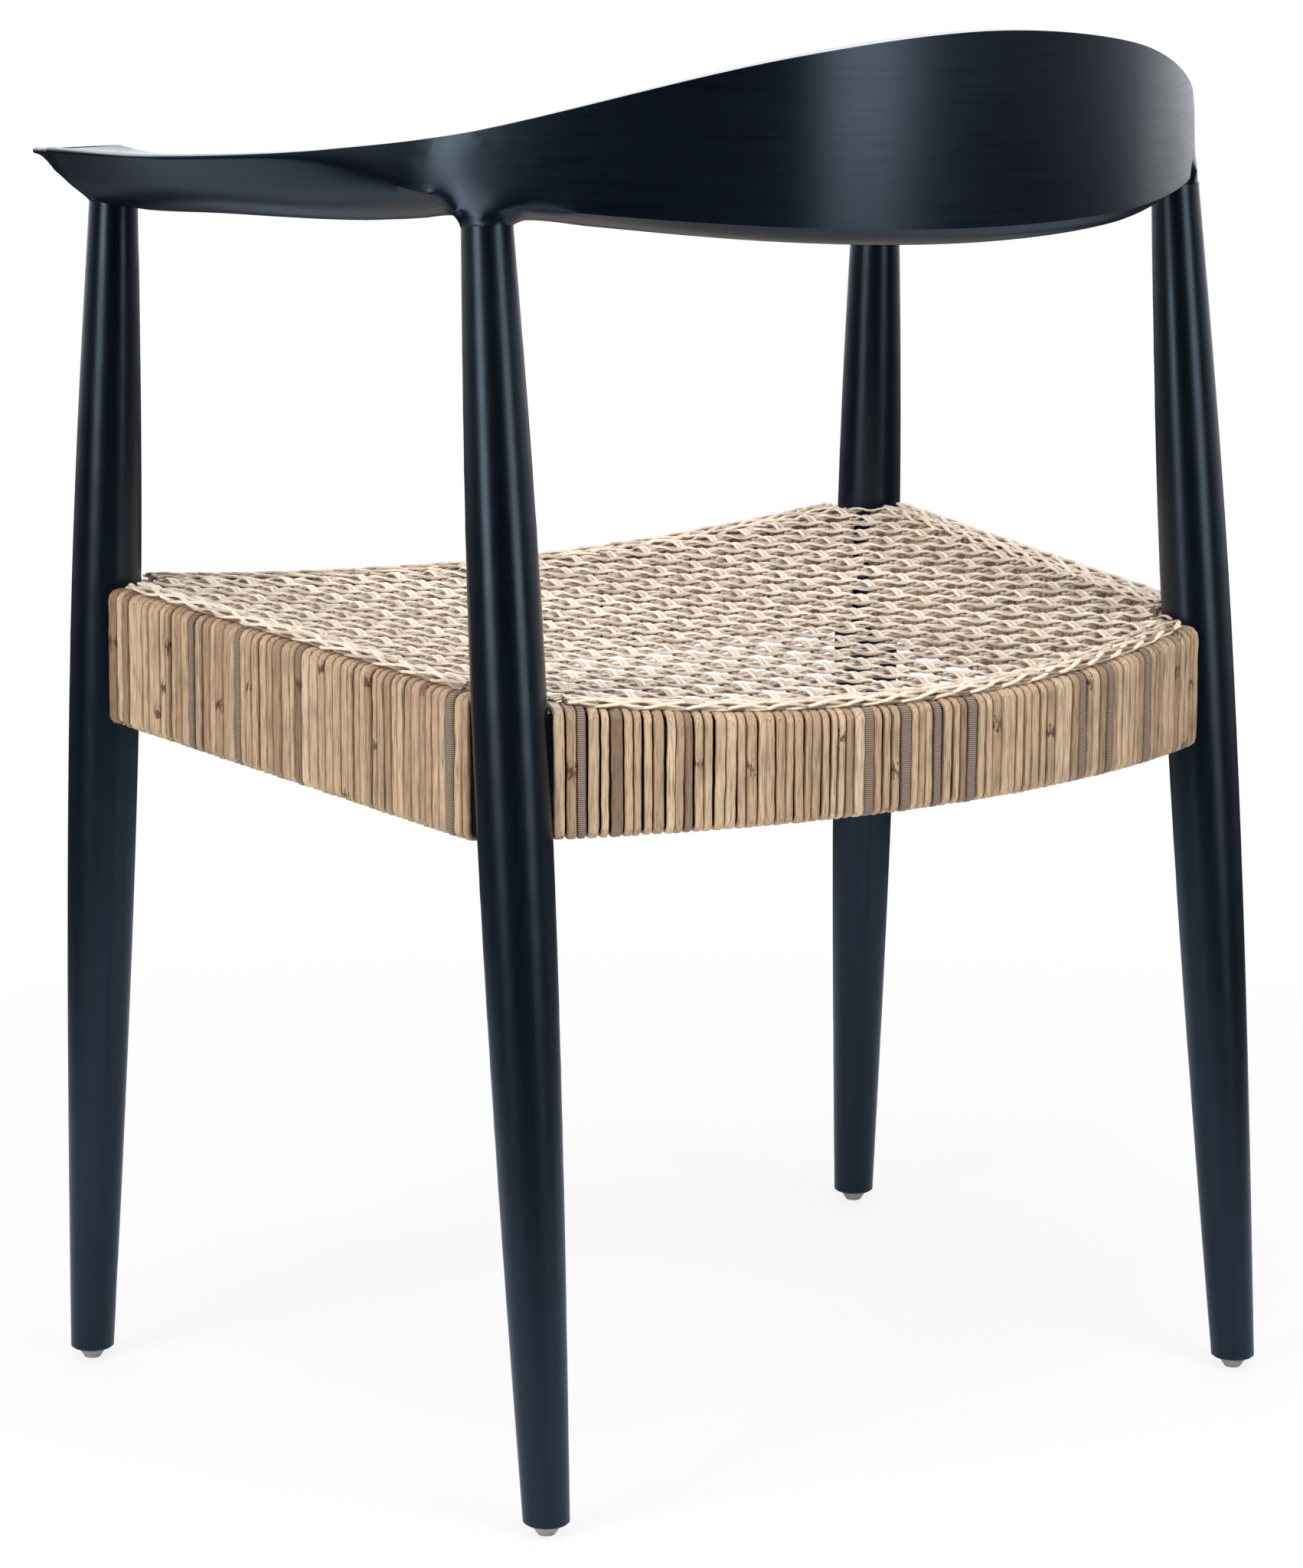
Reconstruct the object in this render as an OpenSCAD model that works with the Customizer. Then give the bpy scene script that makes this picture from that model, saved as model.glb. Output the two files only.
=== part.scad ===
// Round-back armchair in black-stained wood with a woven rattan seat.
// Millimetres, +Z up, the chair faces -Y, +X is the sitter's left.
// The origin is on the floor under the middle of the chair.

/* [Legs] */
// Distance between the front leg axes at the floor
front_foot_gap = 559; // [530:1:590]
// Distance between the rear leg axes at the floor
rear_foot_gap = 481; // [455:1:500]
// Distance from the front leg axes to the rear ones at the floor
foot_depth = 395; // [377:1:417]
// How far a front leg leans in from floor to arm
front_lean_in = 12; // [8:1:16]
// How far a front leg leans back from floor to arm
front_lean_back = 24; // [18:1:30]
// How far a rear leg leans in from floor to arm
rear_lean_in = 8.5; // [5:0.5:12]
// How far a rear leg leans forward from floor to arm
rear_lean_forward = 65; // [57:1:72]
// Diameter of a leg at the floor
foot_d = 24; // [22:0.5:28]
// Largest diameter of a leg, just under the seat
belly_d = 39; // [36:0.5:42]
// Height of the largest diameter
belly_z = 400; // [385:5:415]
// Diameter of a leg where it meets the arm
top_d = 26.5; // [25:0.5:28]
// Chamfer round the bottom end of a leg
foot_chamfer = 1; // [0.5:0.5:2]

/* [Seat] */
// Height of the bound rail tops at the middle of the front rail
seat_z = 435; // [429:1:441]
// Slope of the seat towards the back, in degrees
seat_tilt = 2.9; // [2:0.1:4]
// Radius of the hollow of the seat from side to side
seat_hollow_r = 2380; // [2000:20:3400]
// Height of the bottom of the front rail's binding
front_rail_z = 376; // [368:1:382]
// Height of the bottom of the side rails' binding at the rear legs
side_rail_z = 354.5; // [348:0.5:361]
// Height of the bottom of the rear rail's binding
rear_rail_z = 358.5; // [352:0.5:365]
// Thickness of a wooden seat rail
rail_w = 20; // [18:1:24]
// How far the rear rail bows out behind its ends
rear_bow = 56; // [50:1:64]
// How far the rear rail enters a rear leg in front of the leg's axis
rear_rail_inset = 7; // [5:0.5:9]
// Thickness of a rail tenon
rail_tenon_w = 9; // [8:1:10]
// Height of a rail tenon
rail_tenon_h = 40; // [30:1:44]
// Distance from a leg's axis to the end of a rail tenon
rail_tenon_stop = 8; // [7:0.5:10]

/* [Rattan] */
// Thickness of the rattan binding on a rail
bind_t = 3.2; // [2.5:0.1:4]
// Width of one binding strand
strand_w = 5.6; // [4.5:0.1:7]
// Depth of the groove between two binding strands
groove = 1.1; // [0.6:0.1:1.6]
// Distance from a leg's axis to the end of the binding
bind_stop = 20.5; // [20:0.5:24]
// Thickness of the woven seat
weave_t = 4; // [3:0.5:6]
// Distance between two gaps of the woven seat
gap_pitch = 25; // [24:0.5:30]
// Width of one gap of the woven seat
gap_w = 12; // [8:0.5:15]
// Width of the closed border of the woven seat
border_w = 17; // [12:1:24]
// Distance from the outer edge of the binding to the edge of the seat weave
edge_set_in = 5; // [3:0.5:8]
// Space between a leg and the notch round it in the seat weave
notch_gap = 1.5; // [1:0.25:3]

/* [Arms and back rest] */
// Height of the outer edge of the arms
arm_z = 691; // [684:1:698]
// Height of the back rest's top edge at the middle
back_top_z = 764; // [750:1:778]
// Height of the back rest from its bottom edge to its top edge at the middle
back_h = 108; // [98:1:114]
// Thickness of the back rest
back_t = 20; // [17:0.5:23]
// How far the back rest reaches behind the rear leg tops
back_reach = 109; // [95:1:120]
// Width of the arms over the front legs
arm_w = 86; // [76:1:96]
// How far the arm tips reach in front of the front leg axes
tip_reach = 23; // [18:1:34]
// Distance from the height of an arm's outer edge down to where its front leg meets it
front_joint_drop = 30; // [27:1:35]
// Distance from there down to where its rear leg meets it
rear_joint_drop = 23; // [20:1:27]
// How far the underside of an arm coves out to the rear leg
seat_flare = 5; // [4:0.5:7]

/* [Joinery] */
// Diameter of the round tenon on top of a leg
leg_tenon_d = 15; // [12:0.5:17]
// Length of that tenon
leg_tenon_l = 15; // [10:1:16]
// Diameter of the dowels between the arms and the back rest
dowel_d = 8; // [6:0.5:9]
// Length of those dowels
dowel_l = 40; // [30:2:50]
// Glue gap round tenons and dowels
glue_gap = 0.2; // [0.1:0.05:0.3]
// Height of a floor glide
glide_h = 6; // [4:0.5:9]
// Diameter of a floor glide against the leg
glide_d = 16; // [14:0.5:20]
// Diameter of a floor glide on the floor
glide_foot_d = 9; // [6:0.5:12]
// Diameter of a glide's nail
nail_d = 2.5; // [2:0.1:3.5]
// Length of a glide's nail inside the leg
nail_l = 14; // [10:1:20]

/* [Hidden] */
black = [0.09, 0.10, 0.12];
tan = [0.80, 0.68, 0.52];
pale = [0.86, 0.77, 0.66];
grey = [0.72, 0.72, 0.70];
raw_wood = [0.75, 0.62, 0.45];
seen = 96;
big = 900;
hair = 0.01;

// Places of the legs, given for the sitter's left side
front_joint_z = arm_z - front_joint_drop;
rear_joint_z = arm_z - rear_joint_drop;
y_mid = (foot_depth + back_reach - rear_lean_forward + back_t / 2 - foot_d / 2) / 2;
front_foot = [front_foot_gap / 2, -y_mid, 0];
rear_foot = [rear_foot_gap / 2, foot_depth - y_mid, 0];
front_lean = [-front_lean_in, front_lean_back, front_joint_z];
rear_lean = [-rear_lean_in, -rear_lean_forward, rear_joint_z];

// Point of a leg's axis at height z
function on_axis(foot, lean, z) = foot + lean * (z / lean[2]);
front_top = on_axis(front_foot, front_lean, front_joint_z);
rear_top = on_axis(rear_foot, rear_lean, rear_joint_z);

// Radius of a leg at distance s along its length len: a sine up to the belly, a cosine above it
function leg_r(s, len) = s < belly_z
    ? foot_d / 2 + (belly_d - foot_d) / 2 * sin(90 * s / belly_z)
    : top_d / 2 + (belly_d - top_d) / 2 * cos(90 * (s - belly_z) / (len - belly_z));

// The seat rails meet the legs at this height, and run between these points
rail_mid_z = (seat_z + front_rail_z) / 2;
rear_mid_z = (seat_z - foot_depth * tan(seat_tilt) + rear_rail_z) / 2;
front_hip = on_axis(front_foot, front_lean, rail_mid_z);
rear_hip = on_axis(rear_foot, rear_lean, rear_mid_z);
side_len = norm([rear_hip[0] - front_hip[0], rear_hip[1] - front_hip[1]]);
side_turn = atan2(rear_hip[1] - front_hip[1], rear_hip[0] - front_hip[0]);
bound_w = rail_w + 2 * bind_t;
tenon_l = belly_d / 2 + 6 - rail_tenon_stop;

// The rear rail is an arc about bow_c
bow_r = (pow(rear_hip[0], 2) + pow(rear_bow, 2)) / (2 * rear_bow);
bow_c = rear_hip[1] - rear_rail_inset + rear_bow - bow_r;
bow_end = acos((rear_hip[0] - bind_stop) / bow_r);

// The rear rail's wood runs this many degrees past its binding, into the legs
bow_past = 2.2;

// Puts its children on a leg's axis; side is 1 for the sitter's left and -1 for the right
module on_leg(foot, lean, side) {
    tilt = atan2(norm([lean[0], lean[1]]), lean[2]);
    turn = atan2(lean[1], side * lean[0]);
    translate([side * foot[0], foot[1], 0])
        rotate([0, tilt, turn]) rotate([0, 0, (side > 0 ? 0 : 180) - turn])
            children();
}

// Turned leg: tapers both ways from its belly to the floor and to a round tenon in the arm
module leg_blank(lean) {
    len = norm(lean);
    steps = 22;
    rotate_extrude($fn = seen)
        polygon(concat([[0, 0]],
                       [for (i = [0:steps]) [leg_r(len * i / steps, len), len * i / steps]],
                       [[leg_tenon_d / 2, len], [leg_tenon_d / 2, len + leg_tenon_l - 1],
                        [leg_tenon_d / 2 - 1, len + leg_tenon_l], [0, len + leg_tenon_l]]));
}

// A leg, cut level above its glide, with mortises for two rails and a hole for the nail
module leg(foot, lean, side) {
    color(black)
        difference() {
            on_leg(foot, lean, side) leg_blank(lean);
            translate([side * foot[0], foot[1], glide_h - 50]) cube([100, 100, 100], center = true);
            on_foot(foot, lean, side) leg_end_chamfer();
            on_foot(foot, lean, side) cylinder(d = nail_d + 2 * glue_gap, h = nail_l + 1, $fn = 24);
            if (foot == front_foot) {
                front_tenon(side, glue_gap);
                side_tenon(side, 0, glue_gap);
            } else {
                rear_tenon(side, glue_gap);
                side_tenon(side, 1, glue_gap);
            }
        }
}

// The level end of a leg, on its axis
module on_foot(foot, lean, side) {
    p = on_axis(foot, lean, glide_h);
    translate([side * p[0], p[1], glide_h]) children();
}

module leg_end_chamfer() {
    difference() {
        translate([0, 0, -1]) cylinder(r = foot_d, h = foot_chamfer + 1, $fn = 48);
        translate([0, 0, -1])
            cylinder(r1 = foot_d / 2 - foot_chamfer - 1, r2 = foot_d / 2 + 0.4, h = foot_chamfer + 1.4, $fn = 48);
    }
}

// Floor glide: a shallow plastic cone nailed into the end of a leg
module glide(foot, lean, side) {
    p = on_axis(foot, lean, glide_h);
    color(grey)
        translate([side * p[0], p[1], 0])
            rotate_extrude($fn = 48)
                polygon([[0, 0], [glide_foot_d / 2, 0], [glide_d / 2 - 0.8, glide_h - 2],
                         [glide_d / 2, glide_h - 1], [glide_d / 2, glide_h], [nail_d / 2, glide_h],
                         [nail_d / 2, glide_h + nail_l - 3], [0, glide_h + nail_l]]);
}

// Space below the hollow seat surface; drop lowers it
module under_seat(drop) {
    translate([0, front_hip[1], seat_z])
        rotate([-seat_tilt, 0, 0])
            rotate([90, 0, 0])
                linear_extrude(height = 2 * big, center = true)
                    difference() {
                        translate([-big / 2, -big / 3]) square([big, big / 2.5]);
                        translate([0, seat_hollow_r]) circle(r = seat_hollow_r + drop, $fn = 900);
                    }
}

// Tenons of the rails, with clear added all round for the mortises
module front_tenon(side, clear) {
    reach = side * (front_hip[0] - rail_tenon_stop + clear);
    translate([reach, front_hip[1], rail_mid_z])
        tenon_block(side > 0 ? 180 : 0, clear);
}

module rear_tenon(side, clear) {
    reach = side * (rear_hip[0] - rail_tenon_stop + clear);
    translate([reach, rear_hip[1], rear_mid_z])
        tenon_block(side > 0 ? 180 : 0, clear);
}

// end is 0 at the front leg and 1 at the rear leg
module side_tenon(side, end, clear) {
    mirror([side > 0 ? 0 : 1, 0, 0])
        translate([front_hip[0], front_hip[1], end == 0 ? rail_mid_z : rear_mid_z])
            rotate([0, 0, side_turn])
                translate([end == 0 ? rail_tenon_stop - clear : side_len - rail_tenon_stop + clear, 0, 0])
                    tenon_block(end == 0 ? 0 : 180, clear);
}

// A block that runs from its own end along +X into the rail
module tenon_block(turn, clear) {
    rotate([0, 0, turn])
        translate([0, -rail_tenon_w / 2 - clear, -rail_tenon_h / 2 - clear])
            cube([tenon_l, rail_tenon_w + 2 * clear, rail_tenon_h + 2 * clear]);
}

// Both legs of one pair, for fitting rails and bindings against them
module leg_pair(foot, lean) {
    for (side = [-1, 1]) on_leg(foot, lean, side) leg_blank(lean);
}

// Both legs on the left, for the same
module left_legs() {
    on_leg(front_foot, front_lean, 1) leg_blank(front_lean);
    on_leg(rear_foot, rear_lean, 1) leg_blank(rear_lean);
}

// Straight front rail with a hollowed top, shoulders coped to the legs
module front_rail() {
    color(black)
        union() {
            difference() {
                intersection() {
                    translate([-front_hip[0], front_hip[1] - rail_w / 2, front_rail_z + bind_t])
                        cube([2 * front_hip[0], rail_w, big]);
                    under_seat(bind_t);
                }
                leg_pair(front_foot, front_lean);
            }
            for (side = [-1, 1]) front_tenon(side, 0);
        }
}

// Plan of the rear rail's arc, between radii w either side of it
module bow_plan(w) {
    a = bow_end - bow_past;
    steps = 24;
    polygon(concat(
        [for (i = [0:steps]) let (t = a + (180 - 2 * a) * i / steps)
            [(bow_r + w) * cos(t), bow_c + (bow_r + w) * sin(t)]],
        [for (i = [0:steps]) let (t = 180 - a - (180 - 2 * a) * i / steps)
            [(bow_r - w) * cos(t), bow_c + (bow_r - w) * sin(t)]]));
}

// Rear rail, bowed out in plan, shoulders coped to the legs
module rear_rail() {
    color(black)
        union() {
            difference() {
                intersection() {
                    translate([0, 0, rear_rail_z + bind_t])
                        linear_extrude(height = big) bow_plan(rail_w / 2);
                    under_seat(bind_t);
                }
                leg_pair(rear_foot, rear_lean);
            }
            for (side = [-1, 1]) rear_tenon(side, 0);
        }
}

// Side rail, deeper at the front than at the rear
module side_rail_blank(w, lift, stop) {
    translate([front_hip[0], front_hip[1], 0])
        rotate([0, 0, side_turn])
            rotate([90, 0, 0])
                linear_extrude(height = w, center = true)
                    polygon([[stop, front_rail_z + lift], [side_len - stop, side_rail_z + lift],
                             [side_len - stop, big], [stop, big]]);
}

module left_rail() {
    color(black)
        union() {
            difference() {
                intersection() {
                    side_rail_blank(rail_w, bind_t, 0);
                    under_seat(bind_t);
                }
                left_legs();
            }
            side_tenon(1, 0, 0);
            side_tenon(1, 1, 0);
        }
}

// Edge of a bound rail in plan: half-round strands of equal width from 0 to len
function strand_edge(len) = let (n = round(len / strand_w), p = len / n)
    [for (i = [0:n - 1], k = [0:3])
        [p * (i + k / 4), -groove * pow(abs(k / 2 - 1), 2)]];

// Rattan bound round a straight rail of length len, as one grooved sleeve in plan
module strand_plan(len) {
    edge = strand_edge(len);
    last = len(edge) - 1;
    polygon(concat([for (p = edge) [p[0], bound_w / 2 + p[1]]], [[len, bound_w / 2 - groove]],
                   [[len, groove - bound_w / 2]],
                   [for (i = [0:last]) [edge[last - i][0], -bound_w / 2 - edge[last - i][1]]]));
}

module front_rail_binding() {
    len = 2 * (front_hip[0] - bind_stop);
    color(tan)
        difference() {
            intersection() {
                translate([-len / 2, front_hip[1], front_rail_z])
                    linear_extrude(height = big) strand_plan(len);
                under_seat(0);
            }
            intersection() {
                translate([-big / 2, front_hip[1] - rail_w / 2, front_rail_z + bind_t])
                    cube([big, rail_w, big]);
                under_seat(bind_t);
            }
            leg_pair(front_foot, front_lean);
        }
}

// The same strands bent round the rear rail's arc
module bow_strand_plan() {
    arc = 180 - 2 * bow_end;
    len = bow_r * arc * PI / 180;
    edge = concat(strand_edge(len), [[len, -groove]]);
    last = len(edge) - 1;
    function at(p, side) = let (t = bow_end + arc * p[0] / len, r = bow_r + side * (bound_w / 2 + p[1]))
        [r * cos(t), bow_c + r * sin(t)];
    polygon(concat([for (p = edge) at(p, 1)], [for (i = [0:last]) at(edge[last - i], -1)]));
}

module rear_rail_binding() {
    color(tan)
        difference() {
            intersection() {
                translate([0, 0, rear_rail_z]) linear_extrude(height = big) bow_strand_plan();
                under_seat(0);
            }
            intersection() {
                translate([0, 0, rear_rail_z + bind_t])
                    linear_extrude(height = big) bow_plan(rail_w / 2);
                under_seat(bind_t);
            }
            leg_pair(rear_foot, rear_lean);
        }
}

module left_rail_binding() {
    len = side_len - 2 * bind_stop;
    color(tan)
        difference() {
            intersection() {
                side_rail_blank(2 * bound_w, 0, 0);
                translate([front_hip[0], front_hip[1], 0])
                    rotate([0, 0, side_turn])
                        translate([bind_stop, 0, 0]) linear_extrude(height = big) strand_plan(len);
                under_seat(0);
            }
            intersection() {
                side_rail_blank(rail_w, bind_t, 0);
                under_seat(bind_t);
            }
            left_legs();
        }
}

// Half width of the woven seat at y, and its rear edge at x, in by set_in from the bindings
function seat_half(y, set_in) = front_hip[0] + bound_w / 2 - set_in
    + (y - front_hip[1]) * (rear_hip[0] - front_hip[0]) / (rear_hip[1] - front_hip[1]);
function seat_back(x, set_in) = bow_c + sqrt(pow(bow_r + bound_w / 2 - set_in, 2) - x * x);
function seat_front(set_in) = front_hip[1] - bound_w / 2 + set_in;

// Outline of the woven seat: straight front and sides, bowed back
function seat_outline(set_in) = let (
        yr = rear_hip[1] - 6, xr = seat_half(yr, set_in), xb = xr - 4,
        xf = seat_half(seat_front(set_in), set_in), steps = 20)
    concat([[xf, seat_front(set_in)], [xr, yr]],
           [for (i = [0:steps]) let (x = xb - 2 * xb * i / steps) [x, seat_back(x, set_in)]],
           [[-xr, yr], [-xf, seat_front(set_in)]]);

// Centres of the gaps: a square grid, kept inside the border
gap_rows = floor((seat_back(0, edge_set_in) - seat_front(edge_set_in) - 2 * border_w) / gap_pitch);
gap_y0 = seat_front(edge_set_in) + border_w + gap_pitch / 2;
function gap_ok(x, y) = abs(x) + gap_w / 2 < seat_half(y, edge_set_in) - border_w
    && y + gap_w / 2 < seat_back(abs(x) + gap_w / 2, edge_set_in) - border_w;
function gaps() = [for (j = [0:gap_rows - 1], i = [-12:12])
    let (x = i * gap_pitch, y = gap_y0 + j * gap_pitch)
        if (gap_ok(x, y)) [x, y]];

// The hollow seat surface as a sheet of its own thickness
module seat_sheet() {
    difference() {
        under_seat(-weave_t);
        under_seat(0);
    }
}

// Notch in the seat weave round a leg, in plan
module leg_notch(p, side) {
    translate([side * p[0], p[1]]) circle(d = belly_d + 2 * notch_gap, $fn = seen);
}

// Woven seat as one open net, hollowed from side to side and notched round the legs
module seat_weave() {
    color(pale)
        intersection() {
            seat_sheet();
            translate([0, 0, seat_z - big / 8])
                linear_extrude(height = big / 4)
                    difference() {
                        polygon(seat_outline(edge_set_in));
                        for (c = gaps()) translate(c) circle(d = gap_w, $fn = 24);
                        for (side = [-1, 1]) {
                            leg_notch(on_axis(front_foot, front_lean, seat_z + 12), side);
                            leg_notch(on_axis(rear_foot, rear_lean, seat_z - 8), side);
                        }
                    }
        }
}

// The arms and the back rest are one band, lofted through eight sections on each side.
// A section gives its place in plan, then five corners of the band there, as distance
// outwards from that place and height: outer top edge, crease under it, inner bottom,
// inner edge, inner top. Two bows follow: how far the underside bellies down and how far
// the top is dished. Their numbers suit an arm 86 wide and a back rest 108 tall, and grow
// with them.
hb = back_t / 2;
grow = arm_w / 86;
tall = back_h / 108;
back_bottom_z = back_top_z - back_h;

// Place over the line between the leg tops, t of the way to the front, out by a distance
function over_legs(t, out) = [rear_top[0] + t * (front_top[0] - rear_top[0]) + out * grow,
                              rear_top[1] + t * (front_top[1] - rear_top[1])];

// Corner of an arm, up from the height of its outer edge
function at(out, up) = [out * grow, arm_z + up * grow];
sections = [
    [[0, rear_top[1] + back_reach],
     [[hb, back_top_z], [hb, back_bottom_z + 9 * tall], [-0.9 * hb, back_bottom_z],
      [-hb, back_bottom_z + 4 * tall], [-0.8 * hb, back_top_z - tall]], 3 * tall, 4 * tall],
    [[rear_top[0] / 2, rear_top[1] + 0.81 * back_reach],
     [[hb, back_top_z - 12 * tall], [1.05 * hb, back_bottom_z + 13 * tall],
      [-hb, back_bottom_z + 4.5 * tall], [-1.2 * hb, back_bottom_z + 9.5 * tall],
      [-0.8 * hb, back_top_z - 13 * tall]], 3 * tall, 4 * tall],
    [over_legs(0.02, 1.5),
     [[1.1 * hb, arm_z + 24 * grow], [1.25 * hb, arm_z - 10 * grow], [-1.9 * hb, arm_z - 20 * grow],
      [-2.3 * hb, arm_z - 11 * grow], [-0.9 * hb, arm_z + 23 * grow]], 3 * grow, 5 * grow],
    [over_legs(0.31, 8),
     [at(24, 10.5), at(23, 3), at(-36, -18), at(-40, -7), at(17, 10)], 18 * grow, 5 * grow],
    [over_legs(0.65, 6),
     [at(47, 2.5), at(46, 0), at(-42, -18), at(-44, -8), at(43, 2.5)], 20 * grow, 3 * grow],
    [over_legs(1, 0),
     [at(43, 0), at(42, -3), at(-44, -17), at(-46, -8), at(39, 0)], 22.5 * grow, 2 * grow],
    [[front_top[0] + 2 * grow, front_top[1] - 0.55 * tip_reach],
     [at(40, -1), at(39, -4), at(-32, -11), at(-35, -6), at(36, -1)], 16.5 * grow, grow],
    [[front_top[0] + 4 * grow, front_top[1] - tip_reach],
     [at(37, -1.5), at(36, -4), at(-23, -5), at(-25, -2.5), at(33, -1.5)], 2 * grow, 0.5 * grow]];

// The same eight sections for one side and their mirror image for the other
last = len(sections) - 1;
function section(i) = i >= last ? sections[i - last]
    : let (s = sections[last - i]) [[-s[0][0], s[0][1]], s[1], s[2], s[3]];
function flat_row(s) = concat(s[0], [for (p = s[1]) each p], [s[2], s[3]]);
rows = [for (i = [0:2 * last]) flat_row(section(i))];

// A smooth curve through the rows: row numbers may have fractions. It is a cubic between
// two rows, and its slope at a row is that of the line between the rows before and after.
function row_at(i) = i < 0 ? 2 * rows[0] - rows[1]
    : i > 2 * last ? 2 * rows[2 * last] - rows[2 * last - 1] : rows[i];
function row_gap(i) = norm([for (k = [0, 1]) row_at(i + 1)[k] - row_at(i)[k]]);
function row_slope(i) = (row_at(i + 1) - row_at(i - 1)) / (row_gap(i - 1) + row_gap(i));
function smooth(u) = let (k = min(floor(u), 2 * last - 1), t = u - k, a = row_at(k),
        d = row_at(k + 1) - a, m = row_slope(k) * row_gap(k), n = row_slope(k + 1) * row_gap(k))
    a + m * t + (3 * d - 2 * m - n) * t * t + (m + n - 2 * d) * t * t * t;

// Points along one side of a section, bowed by bow in direction dir, without the last point
function bowed(p, q, n, bow, dir) = [for (i = [0:n - 1]) let (t = i / n)
    p + (q - p) * t + dir * bow * 4 * t * (1 - t)];

// One ring of points round the band at u, in an upright plane square to its run
function ring(u) = let (
        s = smooth(u), e = smooth(min(u + hair, 2 * last)) - smooth(max(u - hair, 0)),
        run = [e[0], e[1]] / norm([e[0], e[1]]), out = [-run[1], run[0]],
        a = [s[2], s[3]], c = [s[4], s[5]], b = [s[6], s[7]], i = [s[8], s[9]], d = [s[10], s[11]])
    [for (p = concat(bowed(a, c, 4, 0.08 * hb, [1, 0]), bowed(c, b, 7, s[12], [0.2, -1]),
                     bowed(b, i, 2, 0.12 * hb, [-1, -0.4]), bowed(i, d, 6, s[13], [0.7, -0.7]),
                     bowed(d, a, 2, 0.08 * hb, [0, 1])))
        [s[0] + out[0] * p[0], s[1] + out[1] * p[0], p[1]]];

// Solid band from u0 to u1 in steps
module band(u0, u1, steps) {
    rings = [for (i = [0:steps]) ring(u0 + (u1 - u0) * i / steps)];
    m = len(rings[0]);
    points = [for (r = rings) each r];
    faces = concat(
        [for (i = [0:steps - 1], k = [0:m - 1]) [i * m + k, i * m + (k + 1) % m, (i + 1) * m + (k + 1) % m]],
        [for (i = [0:steps - 1], k = [0:m - 1]) [i * m + k, (i + 1) * m + (k + 1) % m, (i + 1) * m + k]],
        [[for (k = [0:m - 1]) m - 1 - k]],
        [[for (k = [0:m - 1]) steps * m + k]]);
    polyhedron(points, faces, convexity = 8);
}

// The arms are glued to the back rest this far round from its middle
seam = 1.6;

// Plan of the seam on the left side: its middle point and its direction
seam_row = smooth(last + seam);
seam_run = smooth(last + seam + hair) - smooth(last + seam - hair);
seam_turn = atan2(seam_run[1], seam_run[0]);

// The band of each piece runs a little past the seam and is cut there by one upright plane
past_seam = 0.05;

// Everything on the arm's side of a seam's plane
module arm_side(side) {
    mirror([side > 0 ? 0 : 1, 0, 0])
        translate([seam_row[0], seam_row[1], 0])
            rotate([0, 0, seam_turn])
                translate([0, -big / 2, 0]) cube([big, big, 2 * big]);
}

// The two dowels of one seam, one above the other
module seam_dowels(side, d, l) {
    low = (seam_row[7] + seam_row[5]) / 2 + dowel_d;
    high = seam_row[3] - dowel_d * 1.25;
    mirror([side > 0 ? 0 : 1, 0, 0])
        for (z = [low, high])
            translate([seam_row[0], seam_row[1], z])
                rotate([0, 0, seam_turn]) rotate([0, 90, 0])
                    cylinder(d = d, h = l, center = true, $fn = 32);
}

module back_dowels() {
    color(raw_wood) for (side = [-1, 1]) seam_dowels(side, dowel_d, dowel_l);
}

module back_rest() {
    color(black)
        difference() {
            band(last - seam - past_seam, last + seam + past_seam, 38);
            for (side = [-1, 1]) {
                arm_side(side);
                seam_dowels(side, dowel_d + 2 * glue_gap, dowel_l + 2);
            }
        }
}

// The carved seats stand this much proud of the legs all round and below their ends
seat_rim = 0.3;

// Carved seat for a leg on the underside of an arm: a cove of height h that widens upwards,
// and above it a plain block as high as up, sunk in the arm
module leg_seat(lean, flare, h, up) {
    translate([0, 0, norm(lean)])
        rotate_extrude($fn = seen)
            polygon(concat([[0, -seat_rim], [top_d / 2 + seat_rim, -seat_rim]],
                           [for (i = [0:6]) let (t = 15 * i)
                               [top_d / 2 + seat_rim + flare * (1 - cos(t)), h * sin(t)]],
                           [[top_d / 2 + seat_rim + flare, up], [0, up]]));
}

// The rear seat widens only along the band. Across it, it leans in to the band's outer face
module rear_leg_seat() {
    run = smooth(last + 2 + hair) - smooth(last + 2 - hair);
    intersection() {
        on_leg(rear_foot, rear_lean, 1) leg_seat(rear_lean, seat_flare, 1.2 * seat_flare, leg_tenon_l);
        translate(rear_top)
            rotate([10, 0, atan2(run[1], run[0])])
                cube([2 * top_d, top_d + 0.5, 3 * leg_tenon_l], center = true);
    }
}

// Bore for a leg's tenon, and a round housing for the leg's end where the arm reaches lower
module leg_bore(lean) {
    leg_blank(lean);
    translate([0, 0, norm(lean) - 1])
        cylinder(d = leg_tenon_d + 2 * glue_gap, h = leg_tenon_l + 2, $fn = seen);
}

module left_arm() {
    color(black)
        difference() {
            union() {
                intersection() {
                    band(last + seam - past_seam, 2 * last, 50);
                    arm_side(1);
                }
                on_leg(front_foot, front_lean, 1)
                    leg_seat(front_lean, 0.4 * seat_flare, 0.8 * leg_tenon_l, leg_tenon_l);
                rear_leg_seat();
            }
            seam_dowels(1, dowel_d + 2 * glue_gap, dowel_l + 2);
            on_leg(front_foot, front_lean, 1) leg_bore(front_lean);
            on_leg(rear_foot, rear_lean, 1) leg_bore(rear_lean);
        }
}

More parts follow.
